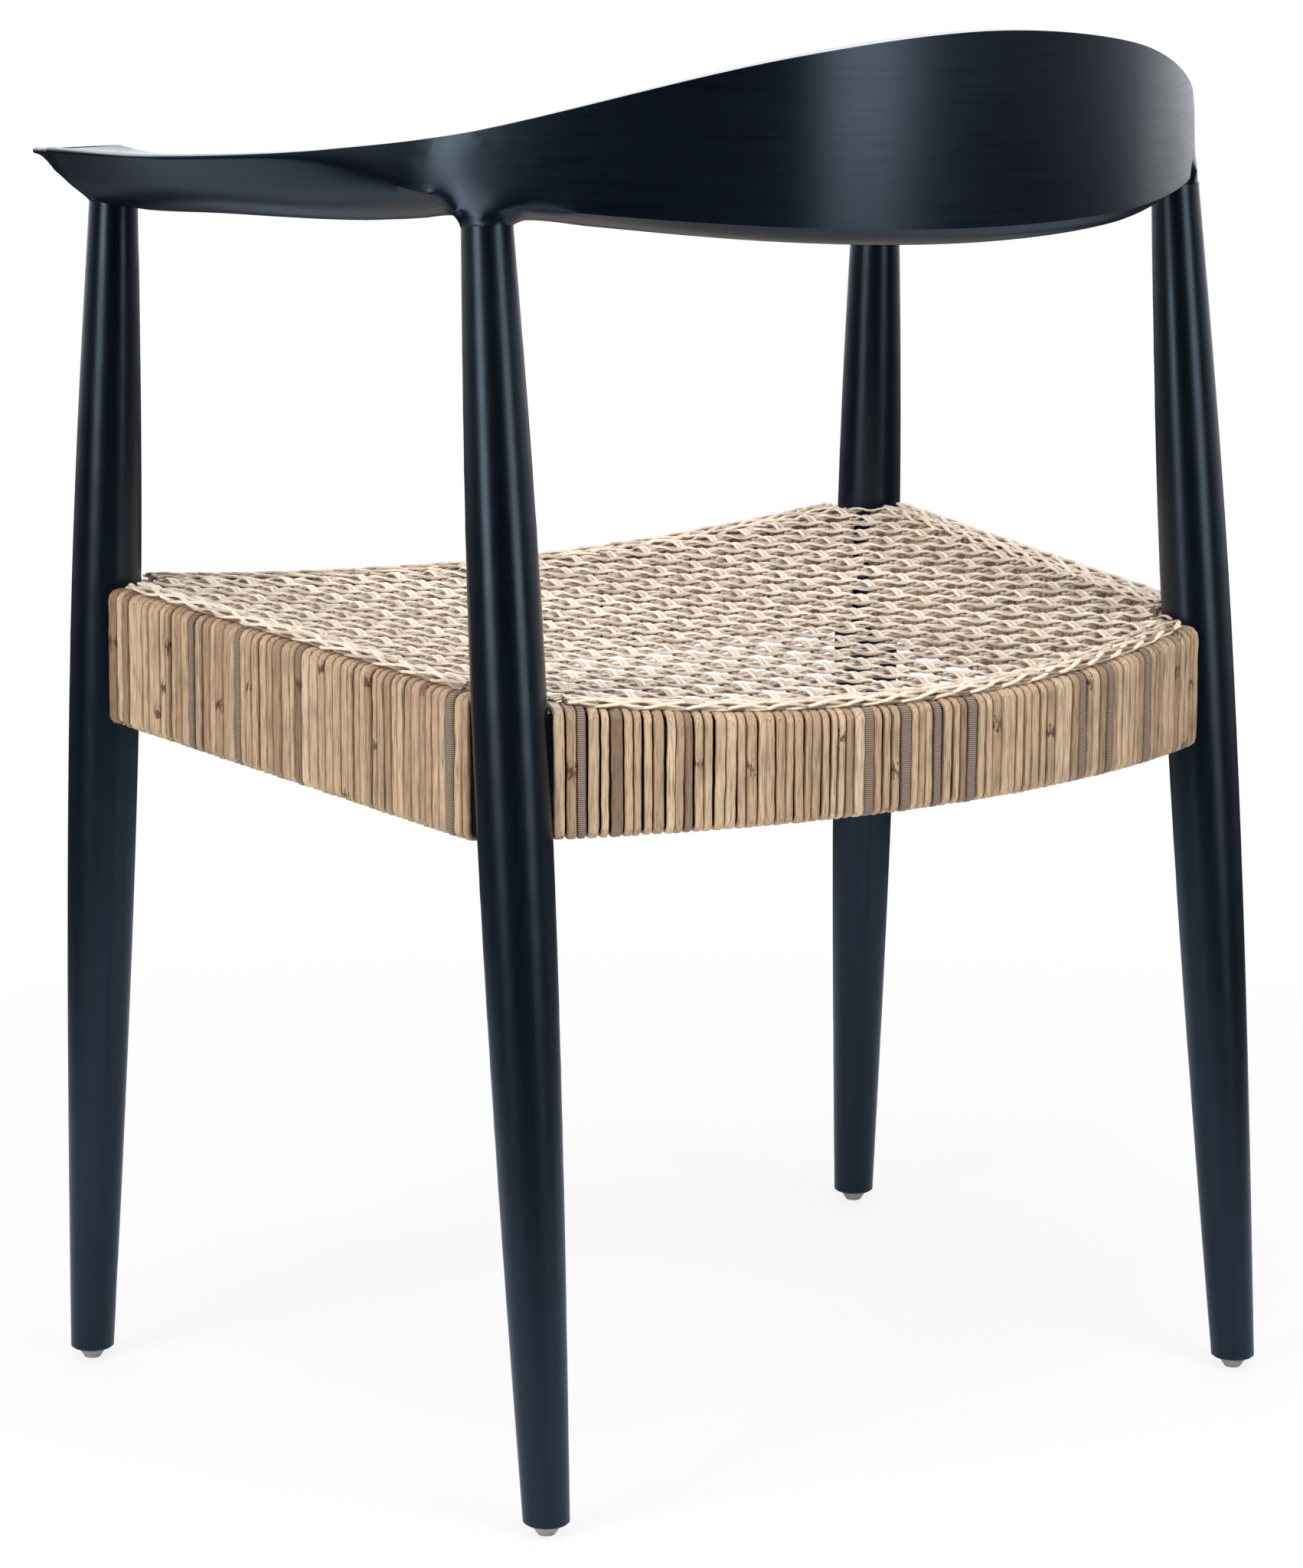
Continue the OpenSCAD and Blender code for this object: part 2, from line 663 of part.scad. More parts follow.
leg(front_foot, front_lean, 1);  // front_left_leg
leg(front_foot, front_lean, -1);  // front_right_leg
leg(rear_foot, rear_lean, 1);  // rear_left_leg
leg(rear_foot, rear_lean, -1);  // rear_right_leg
front_rail();
rear_rail();
left_rail();
mirror([1, 0, 0]) left_rail();  // right_rail
front_rail_binding();
rear_rail_binding();
left_rail_binding();
mirror([1, 0, 0]) left_rail_binding();  // right_rail_binding
seat_weave();
left_arm();
mirror([1, 0, 0]) left_arm();  // right_arm
back_rest();
back_dowels();
glide(front_foot, front_lean, 1);  // front_left_glide
glide(front_foot, front_lean, -1);  // front_right_glide
glide(rear_foot, rear_lean, 1);  // rear_left_glide
glide(rear_foot, rear_lean, -1);  // rear_right_glide
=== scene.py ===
"""Looks of the round-back armchair: black-stained wood, rattan-bound rails, woven rattan seat.

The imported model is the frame. Wood pieces are smoothed copies of their solids, and the arms are
smoothed further round the legs. The rattan is wound and woven strand by strand over the solids
that it replaces.
"""
import math

import bmesh
import bpy
import numpy as np
from mathutils import Matrix, Vector


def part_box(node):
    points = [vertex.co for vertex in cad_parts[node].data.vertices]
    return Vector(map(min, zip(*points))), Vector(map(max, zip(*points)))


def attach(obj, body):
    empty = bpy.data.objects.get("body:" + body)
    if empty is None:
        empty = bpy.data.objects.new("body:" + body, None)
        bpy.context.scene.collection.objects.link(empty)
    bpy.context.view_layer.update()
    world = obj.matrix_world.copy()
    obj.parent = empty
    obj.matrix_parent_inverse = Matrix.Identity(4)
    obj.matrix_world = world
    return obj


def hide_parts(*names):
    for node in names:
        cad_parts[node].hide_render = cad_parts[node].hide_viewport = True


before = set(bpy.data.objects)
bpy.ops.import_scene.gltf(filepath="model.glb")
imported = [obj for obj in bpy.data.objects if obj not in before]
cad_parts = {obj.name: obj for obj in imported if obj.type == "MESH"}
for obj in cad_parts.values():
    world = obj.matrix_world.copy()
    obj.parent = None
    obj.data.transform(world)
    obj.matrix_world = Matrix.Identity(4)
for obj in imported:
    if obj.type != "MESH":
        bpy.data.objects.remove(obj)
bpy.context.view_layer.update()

MM = 0.001

# Photograph's view: the camera's place is given as an orbit round a point of the chair, and its
# lens and sensor in millimetres
CAMERA_TARGET = Vector((63.1, 24.7, 349.0)) * MM
CAMERA_AZIMUTH = math.radians(143.40)
CAMERA_ELEVATION = math.radians(11.36)
CAMERA_ROLL = math.radians(0.30)
CAMERA_DISTANCE = 2754 * MM
CAMERA_LENS = 115.7
CAMERA_SENSOR = 36

# Rattan: bound strands, the bends at a rail's edges, strands of the seat, pitch of the seat's gaps
STRAND_WIDTH = 5.6 * MM
STRAND_THICKNESS = 3.2 * MM
TOP_BEND = 4.2 * MM
BOTTOM_BEND = 3.2 * MM
CORE_WIDTH = 2.7 * MM
CORE_THICKNESS = 1.35 * MM
GAP_PITCH = 25 * MM

# Arms: each leg's tenon, and which places of an arm stay as they are while its joints are smoothed
TENON_LENGTH = 15 * MM
BORE_REACH = 9 * MM
OPENING_REACH = 15.5 * MM
OPENING_HEIGHT = 1 * MM
CREASE_HEIGHT = 17 * MM
CREASE_ANGLE = 0.5  # radians
# Smoothing of those joints: longest edge, share of the way that a point moves, where it fades out
JOINT_EDGE = 2.6 * MM
SPLITS = 6
MOVE = 0.6
FADE = 2.6
TOP_FADE = 8 * MM
SEAM_FADE = 12 * MM
SEAM_KEPT = 0.1
# The two joints of an arm: leg, reach, highest point above the leg's shoulder, rounds
JOINTS = (("rear", 48 * MM, math.inf, 90), ("front", 28 * MM, 24 * MM, 36))

# Faces of the wood that meet at more than this angle have a sharp edge
SHARP_ANGLE = math.radians(32)

# Seen from above, the curve of arms and back rest: its centre in front of the origin, its radius
BAND_CENTRE = 50 * MM
BAND_RADIUS = 270 * MM

# Streaks of the stained wood for each metre, across and along the grain
ACROSS = 420.0
ALONG = 22.0
ALONG_BAND = 18.0

LEGS = ["front_left_leg", "front_right_leg", "rear_left_leg", "rear_right_leg"]
GLIDES = ["front_left_glide", "front_right_glide", "rear_left_glide", "rear_right_glide"]


# Node helpers

def enabled(sockets, key):
    """The socket with that name or number; of several with one name, the one in use."""
    if isinstance(key, int):
        return sockets[key]
    found = [s for s in sockets if s.name == key and s.enabled]
    return found[0] if found else sockets[key]


def add(tree, kind, inputs=None, **settings):
    """Adds a node, sets its properties, and links or sets its inputs.

    A node that is given as an input stands for its first output.
    """
    node = tree.nodes.new(kind)
    for name, value in settings.items():
        setattr(node, name, value)
    for key, value in (inputs or {}).items():
        socket = enabled(node.inputs, key)
        if isinstance(value, bpy.types.Node):
            value = value.outputs[0]
        if isinstance(value, bpy.types.NodeSocket):
            tree.links.new(value, socket)
        else:
            socket.default_value = value
    return node


def math_node(tree, operation, *values):
    """Result of a maths operation on numbers or sockets."""
    node = add(tree, "ShaderNodeMath", dict(enumerate(values)), operation=operation)
    return node.outputs[0]


def vector_math(tree, operation, *values):
    """Vector result of a vector maths operation."""
    node = add(tree, "ShaderNodeVectorMath", dict(enumerate(values)), operation=operation)
    return node.outputs[0]


def plus(tree, first, second):
    """Sum of two numbers."""
    return math_node(tree, "ADD", first, second)


def less(tree, first, second):
    """Difference of two numbers."""
    return math_node(tree, "SUBTRACT", first, second)


def times(tree, first, second):
    """Product of two numbers."""
    return math_node(tree, "MULTIPLY", first, second)


def measure(tree, operation, *vectors):
    """Number result of a vector maths operation."""
    node = add(tree, "ShaderNodeVectorMath", dict(enumerate(vectors)), operation=operation)
    return node.outputs["Value"]


def coordinate(tree, vector, axis):
    """One coordinate of a vector."""
    return add(tree, "ShaderNodeSeparateXYZ", {0: vector}).outputs[axis]


def combined(tree, **coordinates):
    """Vector with those coordinates, zero along the other axes."""
    return add(tree, "ShaderNodeCombineXYZ", coordinates).outputs[0]


def random_value(tree, kind, low, high, seed):
    """Random number or vector for each element."""
    first = {"FLOAT_VECTOR": 0, "FLOAT": 2}[kind]
    node = add(tree, "FunctionNodeRandomValue",
               {first: low, first + 1: high, "Seed": seed}, data_type=kind)
    return enabled(node.outputs, "Value")


def stray(tree, place, scale, reach, apart=None):
    """Offset that wanders from place to place, half its reach each way along X, Y and Z."""
    inputs = {"Vector": place, "Scale": scale, "Detail": 1.0}
    if apart is not None:
        inputs["W"] = apart
    noise = add(tree, "ShaderNodeTexNoise", inputs, noise_dimensions="3D" if apart is None else "4D")
    centred = vector_math(tree, "SUBTRACT", noise.outputs[1], (0.5, 0.5, 0.5))
    return vector_math(tree, "MULTIPLY", centred, reach)


def stored(tree, name):
    """A number stored on the geometry, read in its tree."""
    node = add(tree, "GeometryNodeInputNamedAttribute", {"Name": name}, data_type="FLOAT")
    return enabled(node.outputs, "Attribute")


def store(tree, geometry, domain, name, value):
    """Stores a number on the geometry."""
    node = add(tree, "GeometryNodeStoreNamedAttribute",
               {"Geometry": geometry, "Name": name, "Value": value}, data_type="FLOAT", domain=domain)
    return node.outputs[0]


def moved(tree, geometry, offset):
    """Moves each point of the geometry."""
    return add(tree, "GeometryNodeSetPosition", {"Geometry": geometry, "Offset": offset}).outputs[0]


def new_tree(name, floats, others):
    """A Geometry Nodes tree with named inputs, a seed and a material, and one geometry output."""
    tree = bpy.data.node_groups.new(name, "GeometryNodeTree")
    kinds = {"Geometry": "Geometry", **dict.fromkeys(floats, "Float"), **others,
             "Seed": "Int", "Material": "Material"}
    for label, kind in kinds.items():
        tree.interface.new_socket(label, in_out="INPUT", socket_type="NodeSocket" + kind)
    tree.interface.new_socket("Geometry", in_out="OUTPUT", socket_type="NodeSocketGeometry")
    return tree, add(tree, "NodeGroupInput").outputs


def end_tree(tree, geometry, material):
    """Realizes the instances, sets smooth shading and the material, and ends the tree."""
    real = add(tree, "GeometryNodeRealizeInstances", {"Geometry": geometry})
    smooth = add(tree, "GeometryNodeSetShadeSmooth", {0: real})
    painted = add(tree, "GeometryNodeSetMaterial", {"Geometry": smooth, "Material": material})
    add(tree, "NodeGroupOutput", {0: painted})


def new_object(name, data):
    """An object with that data, in the scene."""
    obj = bpy.data.objects.new(name, data)
    bpy.context.scene.collection.objects.link(obj)
    return obj


def grow(name, mesh, tree, values):
    """Runs a tree on a mesh and returns the result as a new plain object."""
    source = new_object(name + "_source", mesh)
    modifier = source.modifiers.new("grow", "NODES")
    modifier.node_group = tree
    for item in tree.interface.items_tree:
        if item.in_out == "INPUT" and item.name in values:
            modifier[item.identifier] = values[item.name]
    depsgraph = bpy.context.evaluated_depsgraph_get()
    grown = bpy.data.meshes.new_from_object(source.evaluated_get(depsgraph))
    grown.name = name
    bpy.data.objects.remove(source)
    return new_object(name, grown)


# Shapes from the frame

def points_of(obj):
    """Points of an object's mesh, as an array."""
    points = np.empty(len(obj.data.vertices) * 3)
    obj.data.vertices.foreach_get("co", points)
    return points.reshape(-1, 3)


def node_points(node):
    """Points of a CAD node."""
    return points_of(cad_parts[node])


def line_mesh(name, paths, attributes=None):
    """A mesh of open lines, one for each list of points."""
    points = [p for path in paths for p in path]
    edges = []
    start = 0
    for path in paths:
        edges += [(start + k, start + k + 1) for k in range(len(path) - 1)]
        start += len(path)
    mesh = bpy.data.meshes.new(name)
    mesh.from_pydata([tuple(p) for p in points], edges, [])
    for label, values in (attributes or {}).items():
        mesh.attributes.new(label, "FLOAT", "POINT").data.foreach_set("value", values)
    return mesh


def finish_piece(piece, node):
    """Rides a piece on the chair and hides the node that it stands for."""
    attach(piece, "root")
    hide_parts(node)


def shade(shape, data):
    """Writes a shape to a mesh, smoothly shaded between its sharp edges."""
    bmesh.ops.recalc_face_normals(shape, faces=shape.faces)
    shape.normal_update()
    for face in shape.faces:
        face.smooth = True
    for edge in shape.edges:
        edge.smooth = len(edge.link_faces) != 2 or edge.calc_face_angle() < SHARP_ANGLE
    shape.to_mesh(data)
    shape.free()


def smooth_copy(node, material):
    """A merged and smoothly shaded copy of a CAD node."""
    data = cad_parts[node].data.copy()
    data.name = node + "_smooth"
    shape = bmesh.new()
    shape.from_mesh(data)
    bmesh.ops.remove_doubles(shape, verts=shape.verts, dist=0.01 * MM)
    shade(shape, data)
    data.materials.clear()
    data.materials.append(material)
    piece = new_object(node + "_piece", data)
    finish_piece(piece, node)
    return piece


def seam_plane(ours, theirs):
    """Middle of a glued seam and the level direction across it, from points that both pieces have."""
    touching = 0.12 * MM
    shared = [p for p in ours if (np.abs(theirs - p).max(axis=1) < touching).any()]
    middle = np.mean(shared, axis=0)
    return middle, np.linalg.svd((np.array(shared) - middle)[:, :2], full_matrices=False)[2][1]


def leg_joint(leg):
    """Middle of a leg's shoulder in the arm, and the direction up the leg."""
    points = node_points(leg)
    # Middles of its lowest part and of the tenon's end
    low = points[points[:, 2] < points[:, 2].min() + 40 * MM].mean(axis=0)
    top = points[points[:, 2] > points[:, 2].max() - 3 * MM].mean(axis=0)
    axis = (top - low) / np.linalg.norm(top - low)
    return top - TENON_LENGTH * axis, axis


def soften(piece, seam, middle, axis, reach, top, rounds):
    """Smooths the surface round a joint, up to a top.

    The leg's opening, its bore, the seam and the edges above the bore stay as they are.
    """
    shape = bmesh.new()
    shape.from_mesh(piece.data)
    middle = Vector(middle)
    for _ in range(SPLITS):
        close = [e for e in shape.edges if e.calc_length() > JOINT_EDGE
                 and min((v.co - middle).length for v in e.verts) < reach]
        bmesh.ops.subdivide_edges(shape, edges=close, cuts=1)
        bmesh.ops.triangulate(shape, faces=[f for f in shape.faces if len(f.verts) > 3])
    shape.verts.ensure_lookup_table()
    points = np.array([v.co for v in shape.verts])
    pairs = np.array([[v.index for v in e.verts] for e in shape.edges])
    away = points - np.array(middle)
    up = away @ np.array(axis)
    round_leg = np.sqrt(np.maximum((away ** 2).sum(axis=1) - up ** 2, 0))
    weight = np.clip(FADE - FADE * np.sqrt((away ** 2).sum(axis=1)) / reach, 0, 1)
    weight *= np.clip((top - up) / TOP_FADE, 0, 1)
    weight *= np.clip(np.abs((points - seam[0])[:, :2] @ seam[1]) / SEAM_FADE - SEAM_KEPT, 0, 1)
    shape.normal_update()
    creases = [v.index for e in shape.edges if len(e.link_faces) == 2
               and e.calc_face_angle() > CREASE_ANGLE for v in e.verts]
    weight[np.isin(np.arange(len(points)), creases) & (up > CREASE_HEIGHT)] = 0
    weight[(round_leg < BORE_REACH) | ((round_leg < OPENING_REACH) & (up < OPENING_HEIGHT))] = 0
    degree = np.bincount(pairs.ravel(), minlength=len(points))[:, None]
    for _ in range(rounds):
        total = np.zeros_like(points)
        np.add.at(total, pairs[:, 0], points[pairs[:, 1]])
        np.add.at(total, pairs[:, 1], points[pairs[:, 0]])
        points += MOVE * weight[:, None] * (total / degree - points)
    for vertex, point in zip(shape.verts, points):
        vertex.co = point
    shade(shape, piece.data)


def blend_seams(back, *arms):
    """Shades across the glued seams: corner normals there take in both pieces' faces."""
    seam_reach = 60 * MM
    in_plane = 0.03 * MM
    alike_cosine = 0.85
    skins = {}
    for piece in (back, *arms):
        normals = [Vector(n.vector) for n in piece.data.corner_normals]
        skins[piece] = [points_of(piece), {}, normals]
    for arm in arms:
        middle, across = seam_plane(skins[arm][0], skins[back][0])
        for piece in (back, arm):
            points, around = skins[piece][:2]
            off = np.abs((points - middle)[:, :2] @ across)
            near_seam = np.hypot(*(points - middle)[:, :2].T) < seam_reach
            around[arm] = {k: [] for k in np.nonzero((off < in_plane) & near_seam)[0]}
            for face in piece.data.polygons:
                if not all(v in around[arm] for v in face.vertices):
                    for v in face.vertices:
                        if v in around[arm]:
                            around[arm][v].append((face.normal.copy(), face.area))
        for piece, other in ((back, arm), (arm, back)):
            points, around, normals = skins[piece]
            far_points, far_around = skins[other][:2]
            far = [k for k, faces in far_around[arm].items() if faces]
            for face in piece.data.polygons:
                for corner, v in zip(face.loop_indices, face.vertices):
                    if around[arm].get(v) and not all(w in around[arm] for w in face.vertices):
                        distances = ((far_points[far] - points[v]) ** 2).sum(axis=1)
                        faces = around[arm][v] + far_around[arm][far[int(np.argmin(distances))]]
                        alike = [n * area for n, area in faces if n.dot(face.normal) > alike_cosine]
                        normals[corner] = sum(alike, Vector()).normalized()
    for piece, (_, _, normals) in skins.items():
        piece.data.normals_split_custom_set(normals)


# Materials

def streaks_group():
    """Shader group: fine streaks along one axis, and broad blotches, as two numbers."""
    group = bpy.data.node_groups.new("streaks", "ShaderNodeTree")
    for label, kind in (("Vector", "Vector"), ("Stretch", "Vector"), ("Blotch Scale", "Float")):
        group.interface.new_socket(label, in_out="INPUT", socket_type="NodeSocket" + kind)
    for label in ("Streaks", "Blotches"):
        group.interface.new_socket(label, in_out="OUTPUT", socket_type="NodeSocketFloat")
    given = add(group, "NodeGroupInput").outputs
    stretched = vector_math(group, "MULTIPLY", given["Vector"], given["Stretch"])
    fine = add(group, "ShaderNodeTexNoise", {"Vector": stretched, "Scale": 1.0, "Detail": 4.0})
    broad = add(group, "ShaderNodeTexNoise",
                {"Vector": given["Vector"], "Scale": given["Blotch Scale"], "Detail": 3.0})
    add(group, "NodeGroupOutput", {"Streaks": fine, "Blotches": broad})
    return group


STREAKS = streaks_group()


def new_material(name, roughness, **fixed):
    """A material with a Principled shader, its tree, and its object coordinates."""
    material = bpy.data.materials.new(name)
    material.use_nodes = True
    tree = material.node_tree
    shader = next(n for n in tree.nodes if n.type == "BSDF_PRINCIPLED")
    shader.inputs["Roughness"].default_value = roughness
    for label, value in fixed.items():
        shader.inputs[label.replace("_", " ")].default_value = value
    place = add(tree, "ShaderNodeTexCoord").outputs["Object"]
    return material, tree, shader, place


def streaks(tree, place, stretch, blotch_scale):
    """Streaks and blotches at a place, as two sockets."""
    node = add(tree, "ShaderNodeGroup",
               {"Vector": place, "Stretch": stretch, "Blotch Scale": blotch_scale}, node_tree=STREAKS)
    return node.outputs["Streaks"], node.outputs["Blotches"]


def ramp(tree, value, stops):
    """Colour ramp with stops of (place, colour)."""
    node = add(tree, "ShaderNodeValToRGB", {0: value})
    while len(node.color_ramp.elements) < len(stops):
        node.color_ramp.elements.new(0.5)
    for element, (spot, colour) in zip(node.color_ramp.elements, stops):
        element.position = spot
        element.color = (*colour, 1)
    return node.outputs[0]


def mix(tree, amount, first, second, blend="MIX"):
    """Mixes two colours."""
    node = add(tree, "ShaderNodeMix",
               {"Factor": amount, "A": first, "B": second}, data_type="RGBA", blend_type=blend)
    return enabled(node.outputs, "Result")


def coat(tree, shader, colour, height, depth, strength):
    """Feeds a colour to the shader, and a height as a bump of that depth."""
    tree.links.new(colour, shader.inputs["Base Color"])
    node = add(tree, "ShaderNodeBump", {"Height": height, "Distance": depth, "Strength": strength})
    tree.links.new(node.outputs[0], shader.inputs["Normal"])


def grey(value):
    """A grey colour."""
    return (value, value, value)


def round_band(tree, place):
    """Place measured round the curve of arms and back rest: X along it, Y out from its centre."""
    x = coordinate(tree, place, "X")
    y = plus(tree, coordinate(tree, place, "Y"), BAND_CENTRE)
    turn = math_node(tree, "ARCTAN2", x, y)
    out = math_node(tree, "SQRT", plus(tree, times(tree, y, y), times(tree, x, x)))
    return combined(tree, X=times(tree, turn, BAND_RADIUS), Y=out, Z=coordinate(tree, place, "Z"))


def stained_wood(name, stretch, bent=False):
    """Black-stained satin wood with its grain along the axis with the least stretch.

    Bent wood has its grain along X of a place that is measured round the chair.
    """
    material, tree, shader, place = new_material(
        name, 0.3, Specular_IOR_Level=0.55, Specular_Tint=(0.6, 0.78, 1.0, 1))
    if bent:
        place = round_band(tree, place)
    fine, broad = streaks(tree, place, stretch, 9.0)
    dark = ramp(tree, fine, [(0.3, (0.0003, 0.0008, 0.0025)), (0.7, (0.001, 0.0022, 0.0055))])
    colour = mix(tree, broad, dark, (0.001, 0.0024, 0.0055, 1))
    rough = ramp(tree, plus(tree, times(tree, fine, 0.5), times(tree, broad, 0.5)),
                 [(0.3, grey(0.26)), (0.7, grey(0.35))])
    tree.links.new(rough, shader.inputs["Roughness"])
    coat(tree, shader, colour, fine, 0.05 * MM, 0.4)
    return material


def attribute(tree, name):
    """A number stored on the mesh, read in a material."""
    return add(tree, "ShaderNodeAttribute", attribute_name=name).outputs["Fac"]


def rattan_peel():
    """Bound rattan strands: straw to brown by strand, fibres along them, scars and cross ribs."""
    stain_brown = (0.28, 0.185, 0.12, 1)
    scar_brown = (0.075, 0.038, 0.02, 1)
    scar_reach = 24 * MM
    scar_edge = 1.2 * MM
    ribbed_above = 0.93
    material, tree, shader, place = new_material("rattan_peel", 0.42, Specular_IOR_Level=0.4)
    fine, broad = streaks(tree, place, (1400.0, 1400.0, 60.0), 45.0)
    base = ramp(tree, attribute(tree, "tint"), [
        (0.0, (0.26, 0.165, 0.10)), (0.12, (0.46, 0.305, 0.185)), (0.5, (0.60, 0.415, 0.26)),
        (0.85, (0.69, 0.49, 0.315)), (1.0, (0.78, 0.59, 0.40))])
    fibre = ramp(tree, fine, [(0.3, grey(0.22)), (0.52, grey(0.88)), (0.9, grey(1.2))])
    colour = mix(tree, 0.85, base, fibre, "MULTIPLY")
    stain = ramp(tree, broad, [(0.5, grey(0.0)), (0.75, grey(0.55))])
    colour = mix(tree, stain, colour, stain_brown)
    # Leaf scars: a ragged dark band across some strands
    ragged = add(tree, "ShaderNodeTexNoise",
                 {"Vector": vector_math(tree, "MULTIPLY", place, (900.0, 900.0, 240.0)),
                  "Scale": 1.0, "Detail": 3.0}).outputs[0]
    level = coordinate(tree, place, "Z")
    apart = math_node(tree, "ABSOLUTE", less(tree, level, attribute(tree, "scar")))
    reach = times(tree, less(tree, ragged, 0.4), scar_reach)
    depth = math_node(tree, "DIVIDE", less(tree, reach, apart), scar_edge)
    scar = ramp(tree, depth, [(0.0, grey(0.0)), (1.0, grey(0.9))])
    colour = mix(tree, scar, colour, scar_brown)
    # Rough strands with fine cross ribs
    waves = add(tree, "ShaderNodeTexWave",
                {"Vector": place, "Scale": 290.0, "Distortion": 1.5, "Detail": 1.0,
                 "Detail Scale": 60.0}, bands_direction="Z")
    ribbed = ramp(tree, waves, [(0.2, (0.13, 0.085, 0.06)), (0.8, (0.38, 0.28, 0.21))])
    rib = math_node(tree, "GREATER_THAN", attribute(tree, "chance"), ribbed_above)
    colour = mix(tree, rib, colour, ribbed)
    height = plus(tree, fine, times(tree, waves, rib))
    coat(tree, shader, colour, height, 0.25 * MM, 0.7)
    return material


def rattan_core(name, light, dark):
    """Thin flat rattan of the seat: pale and fibrous, browner by strand and in blotches, with painted
    shade where a strand runs low.
    """
    lowest = -5 * MM
    lightest = tuple(min(c * 1.12, 1) for c in light)
    material, tree, shader, place = new_material(name, 0.5, Specular_IOR_Level=0.35)
    fine, broad = streaks(tree, place, (900.0, 900.0, 500.0), 60.0)
    blend = plus(tree, times(tree, attribute(tree, "tint"), 0.55), times(tree, broad, 0.45))
    base = ramp(tree, blend, [(0.15, dark), (0.5, light), (0.85, lightest)])
    fibre = ramp(tree, fine, [(0.3, grey(0.72)), (0.6, grey(1.0))])
    colour = mix(tree, 0.7, base, fibre, "MULTIPLY")
    # Where a strand runs low among the others it is darkened: painted shade in the crevices of the
    # weave
    depth = math_node(tree, "DIVIDE", attribute(tree, "level"), lowest)
    painted_shade = ramp(tree, depth, [
        (0.3, grey(1.0)), (0.52, (0.82, 0.79, 0.76)), (0.8, (0.22, 0.175, 0.14))])
    colour = mix(tree, 1.0, colour, painted_shade, "MULTIPLY")
    coat(tree, shader, colour, fine, 0.15 * MM, 0.6)
    return material


def glide_plastic():
    """Milky grey plastic of the floor glides."""
    material, tree, shader, place = new_material("glide_plastic", 0.35, Subsurface_Weight=0.3)
    fine, broad = streaks(tree, place, (700.0, 700.0, 700.0), 120.0)
    colour = ramp(tree, broad, [(0.3, (0.33, 0.33, 0.31)), (0.7, (0.46, 0.46, 0.43))])
    coat(tree, shader, colour, fine, 0.05 * MM, 0.4)
    return material


def plain_wood():
    """Pale raw wood of the hidden dowels."""
    material, tree, shader, place = new_material("plain_wood", 0.6)
    fine, broad = streaks(tree, place, (900.0, 900.0, 90.0), 50.0)
    colour = ramp(tree, fine, [(0.3, (0.45, 0.29, 0.15)), (0.7, (0.62, 0.44, 0.26))])
    coat(tree, shader, colour, broad, 0.1 * MM, 0.4)
    return material


upright_wood = stained_wood("black_wood_upright", (ACROSS, ACROSS, ALONG))
lengthways_wood = stained_wood("black_wood_lengthways", (ACROSS, ALONG, ACROSS))
crossways_wood = stained_wood("black_wood_crossways", (ALONG, ACROSS, ACROSS))
band_wood = stained_wood("black_wood_band", (ALONG_BAND, ACROSS, ACROSS), bent=True)
peel = rattan_peel()
core = rattan_core("rattan_core", (0.97, 0.82, 0.69), (0.60, 0.47, 0.37))
border_core = rattan_core("rattan_border", (0.97, 0.80, 0.64), (0.60, 0.46, 0.35))


# Wood and glides

for leg in LEGS:
    smooth_copy(leg, upright_wood)
for rail in ("front_rail", "rear_rail"):
    smooth_copy(rail, crossways_wood)
for rail in ("left_rail", "right_rail"):
    smooth_copy(rail, lengthways_wood)
left_arm, right_arm, back_rest = [
    smooth_copy(node, band_wood) for node in ("left_arm", "right_arm", "back_rest")]
for side, arm in (("left", left_arm), ("right", right_arm)):
    seam = seam_plane(points_of(arm), points_of(back_rest))
    for end, reach, top, rounds in JOINTS:
        soften(arm, seam, *leg_joint(f"{end}_{side}_leg"), reach, top, rounds)
blend_seams(back_rest, left_arm, right_arm)
plastic = glide_plastic()
for glide in GLIDES:
    smooth_copy(glide, plastic)
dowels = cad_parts["back_dowels"]
dowels.data.materials.clear()
dowels.data.materials.append(plain_wood())


# Rattan bound round the rails

def binding_path(node, samples=48):
    """Middle line of a bound rail, with its half height at each point of it."""
    points = node_points(node)
    plan = points[:, :2]
    middle = plan.mean(axis=0)
    run = np.linalg.svd(plan - middle, full_matrices=False)[2][0]
    across = np.array([-run[1], run[0]])
    u, v = (plan - middle) @ run, (plan - middle) @ across
    # A curve through the middles of cuts across the rail
    cuts = np.linspace(0.88 * u.min(), 0.88 * u.max(), 25)
    near = [v[np.abs(u - c) < 1.5 * STRAND_WIDTH] for c in cuts]
    bow = np.polyfit(cuts, [(n.min() + n.max()) / 2 for n in near], 4)
    fine = np.linspace(1.1 * u.min(), 1.1 * u.max(), 1500)
    line = middle + np.outer(fine, run) + np.outer(np.polyval(bow, fine), across)
    s = np.concatenate([[0], np.cumsum(np.hypot(*np.diff(line, axis=0).T))])
    # Where each corner point lies along that curve, and on which side of it
    place = np.array([np.argmin(((line - q) ** 2).sum(axis=1)) for q in plan])
    along = s[place]
    side = v - np.interp(u, fine, np.polyval(bow, fine))
    path, half = [], []
    for t in np.linspace(along.min(), along.max(), samples):
        close = np.abs(along - t) < 0.9 * STRAND_WIDTH
        top = (points[close & (side > 0), 2].max() + points[close & (side < 0), 2].max()) / 2
        low = points[close, 2].min()
        path.append((np.interp(t, s, line[:, 0]), np.interp(t, s, line[:, 1]), (top + low) / 2))
        half.append((top - low) / 2)
    return path, half


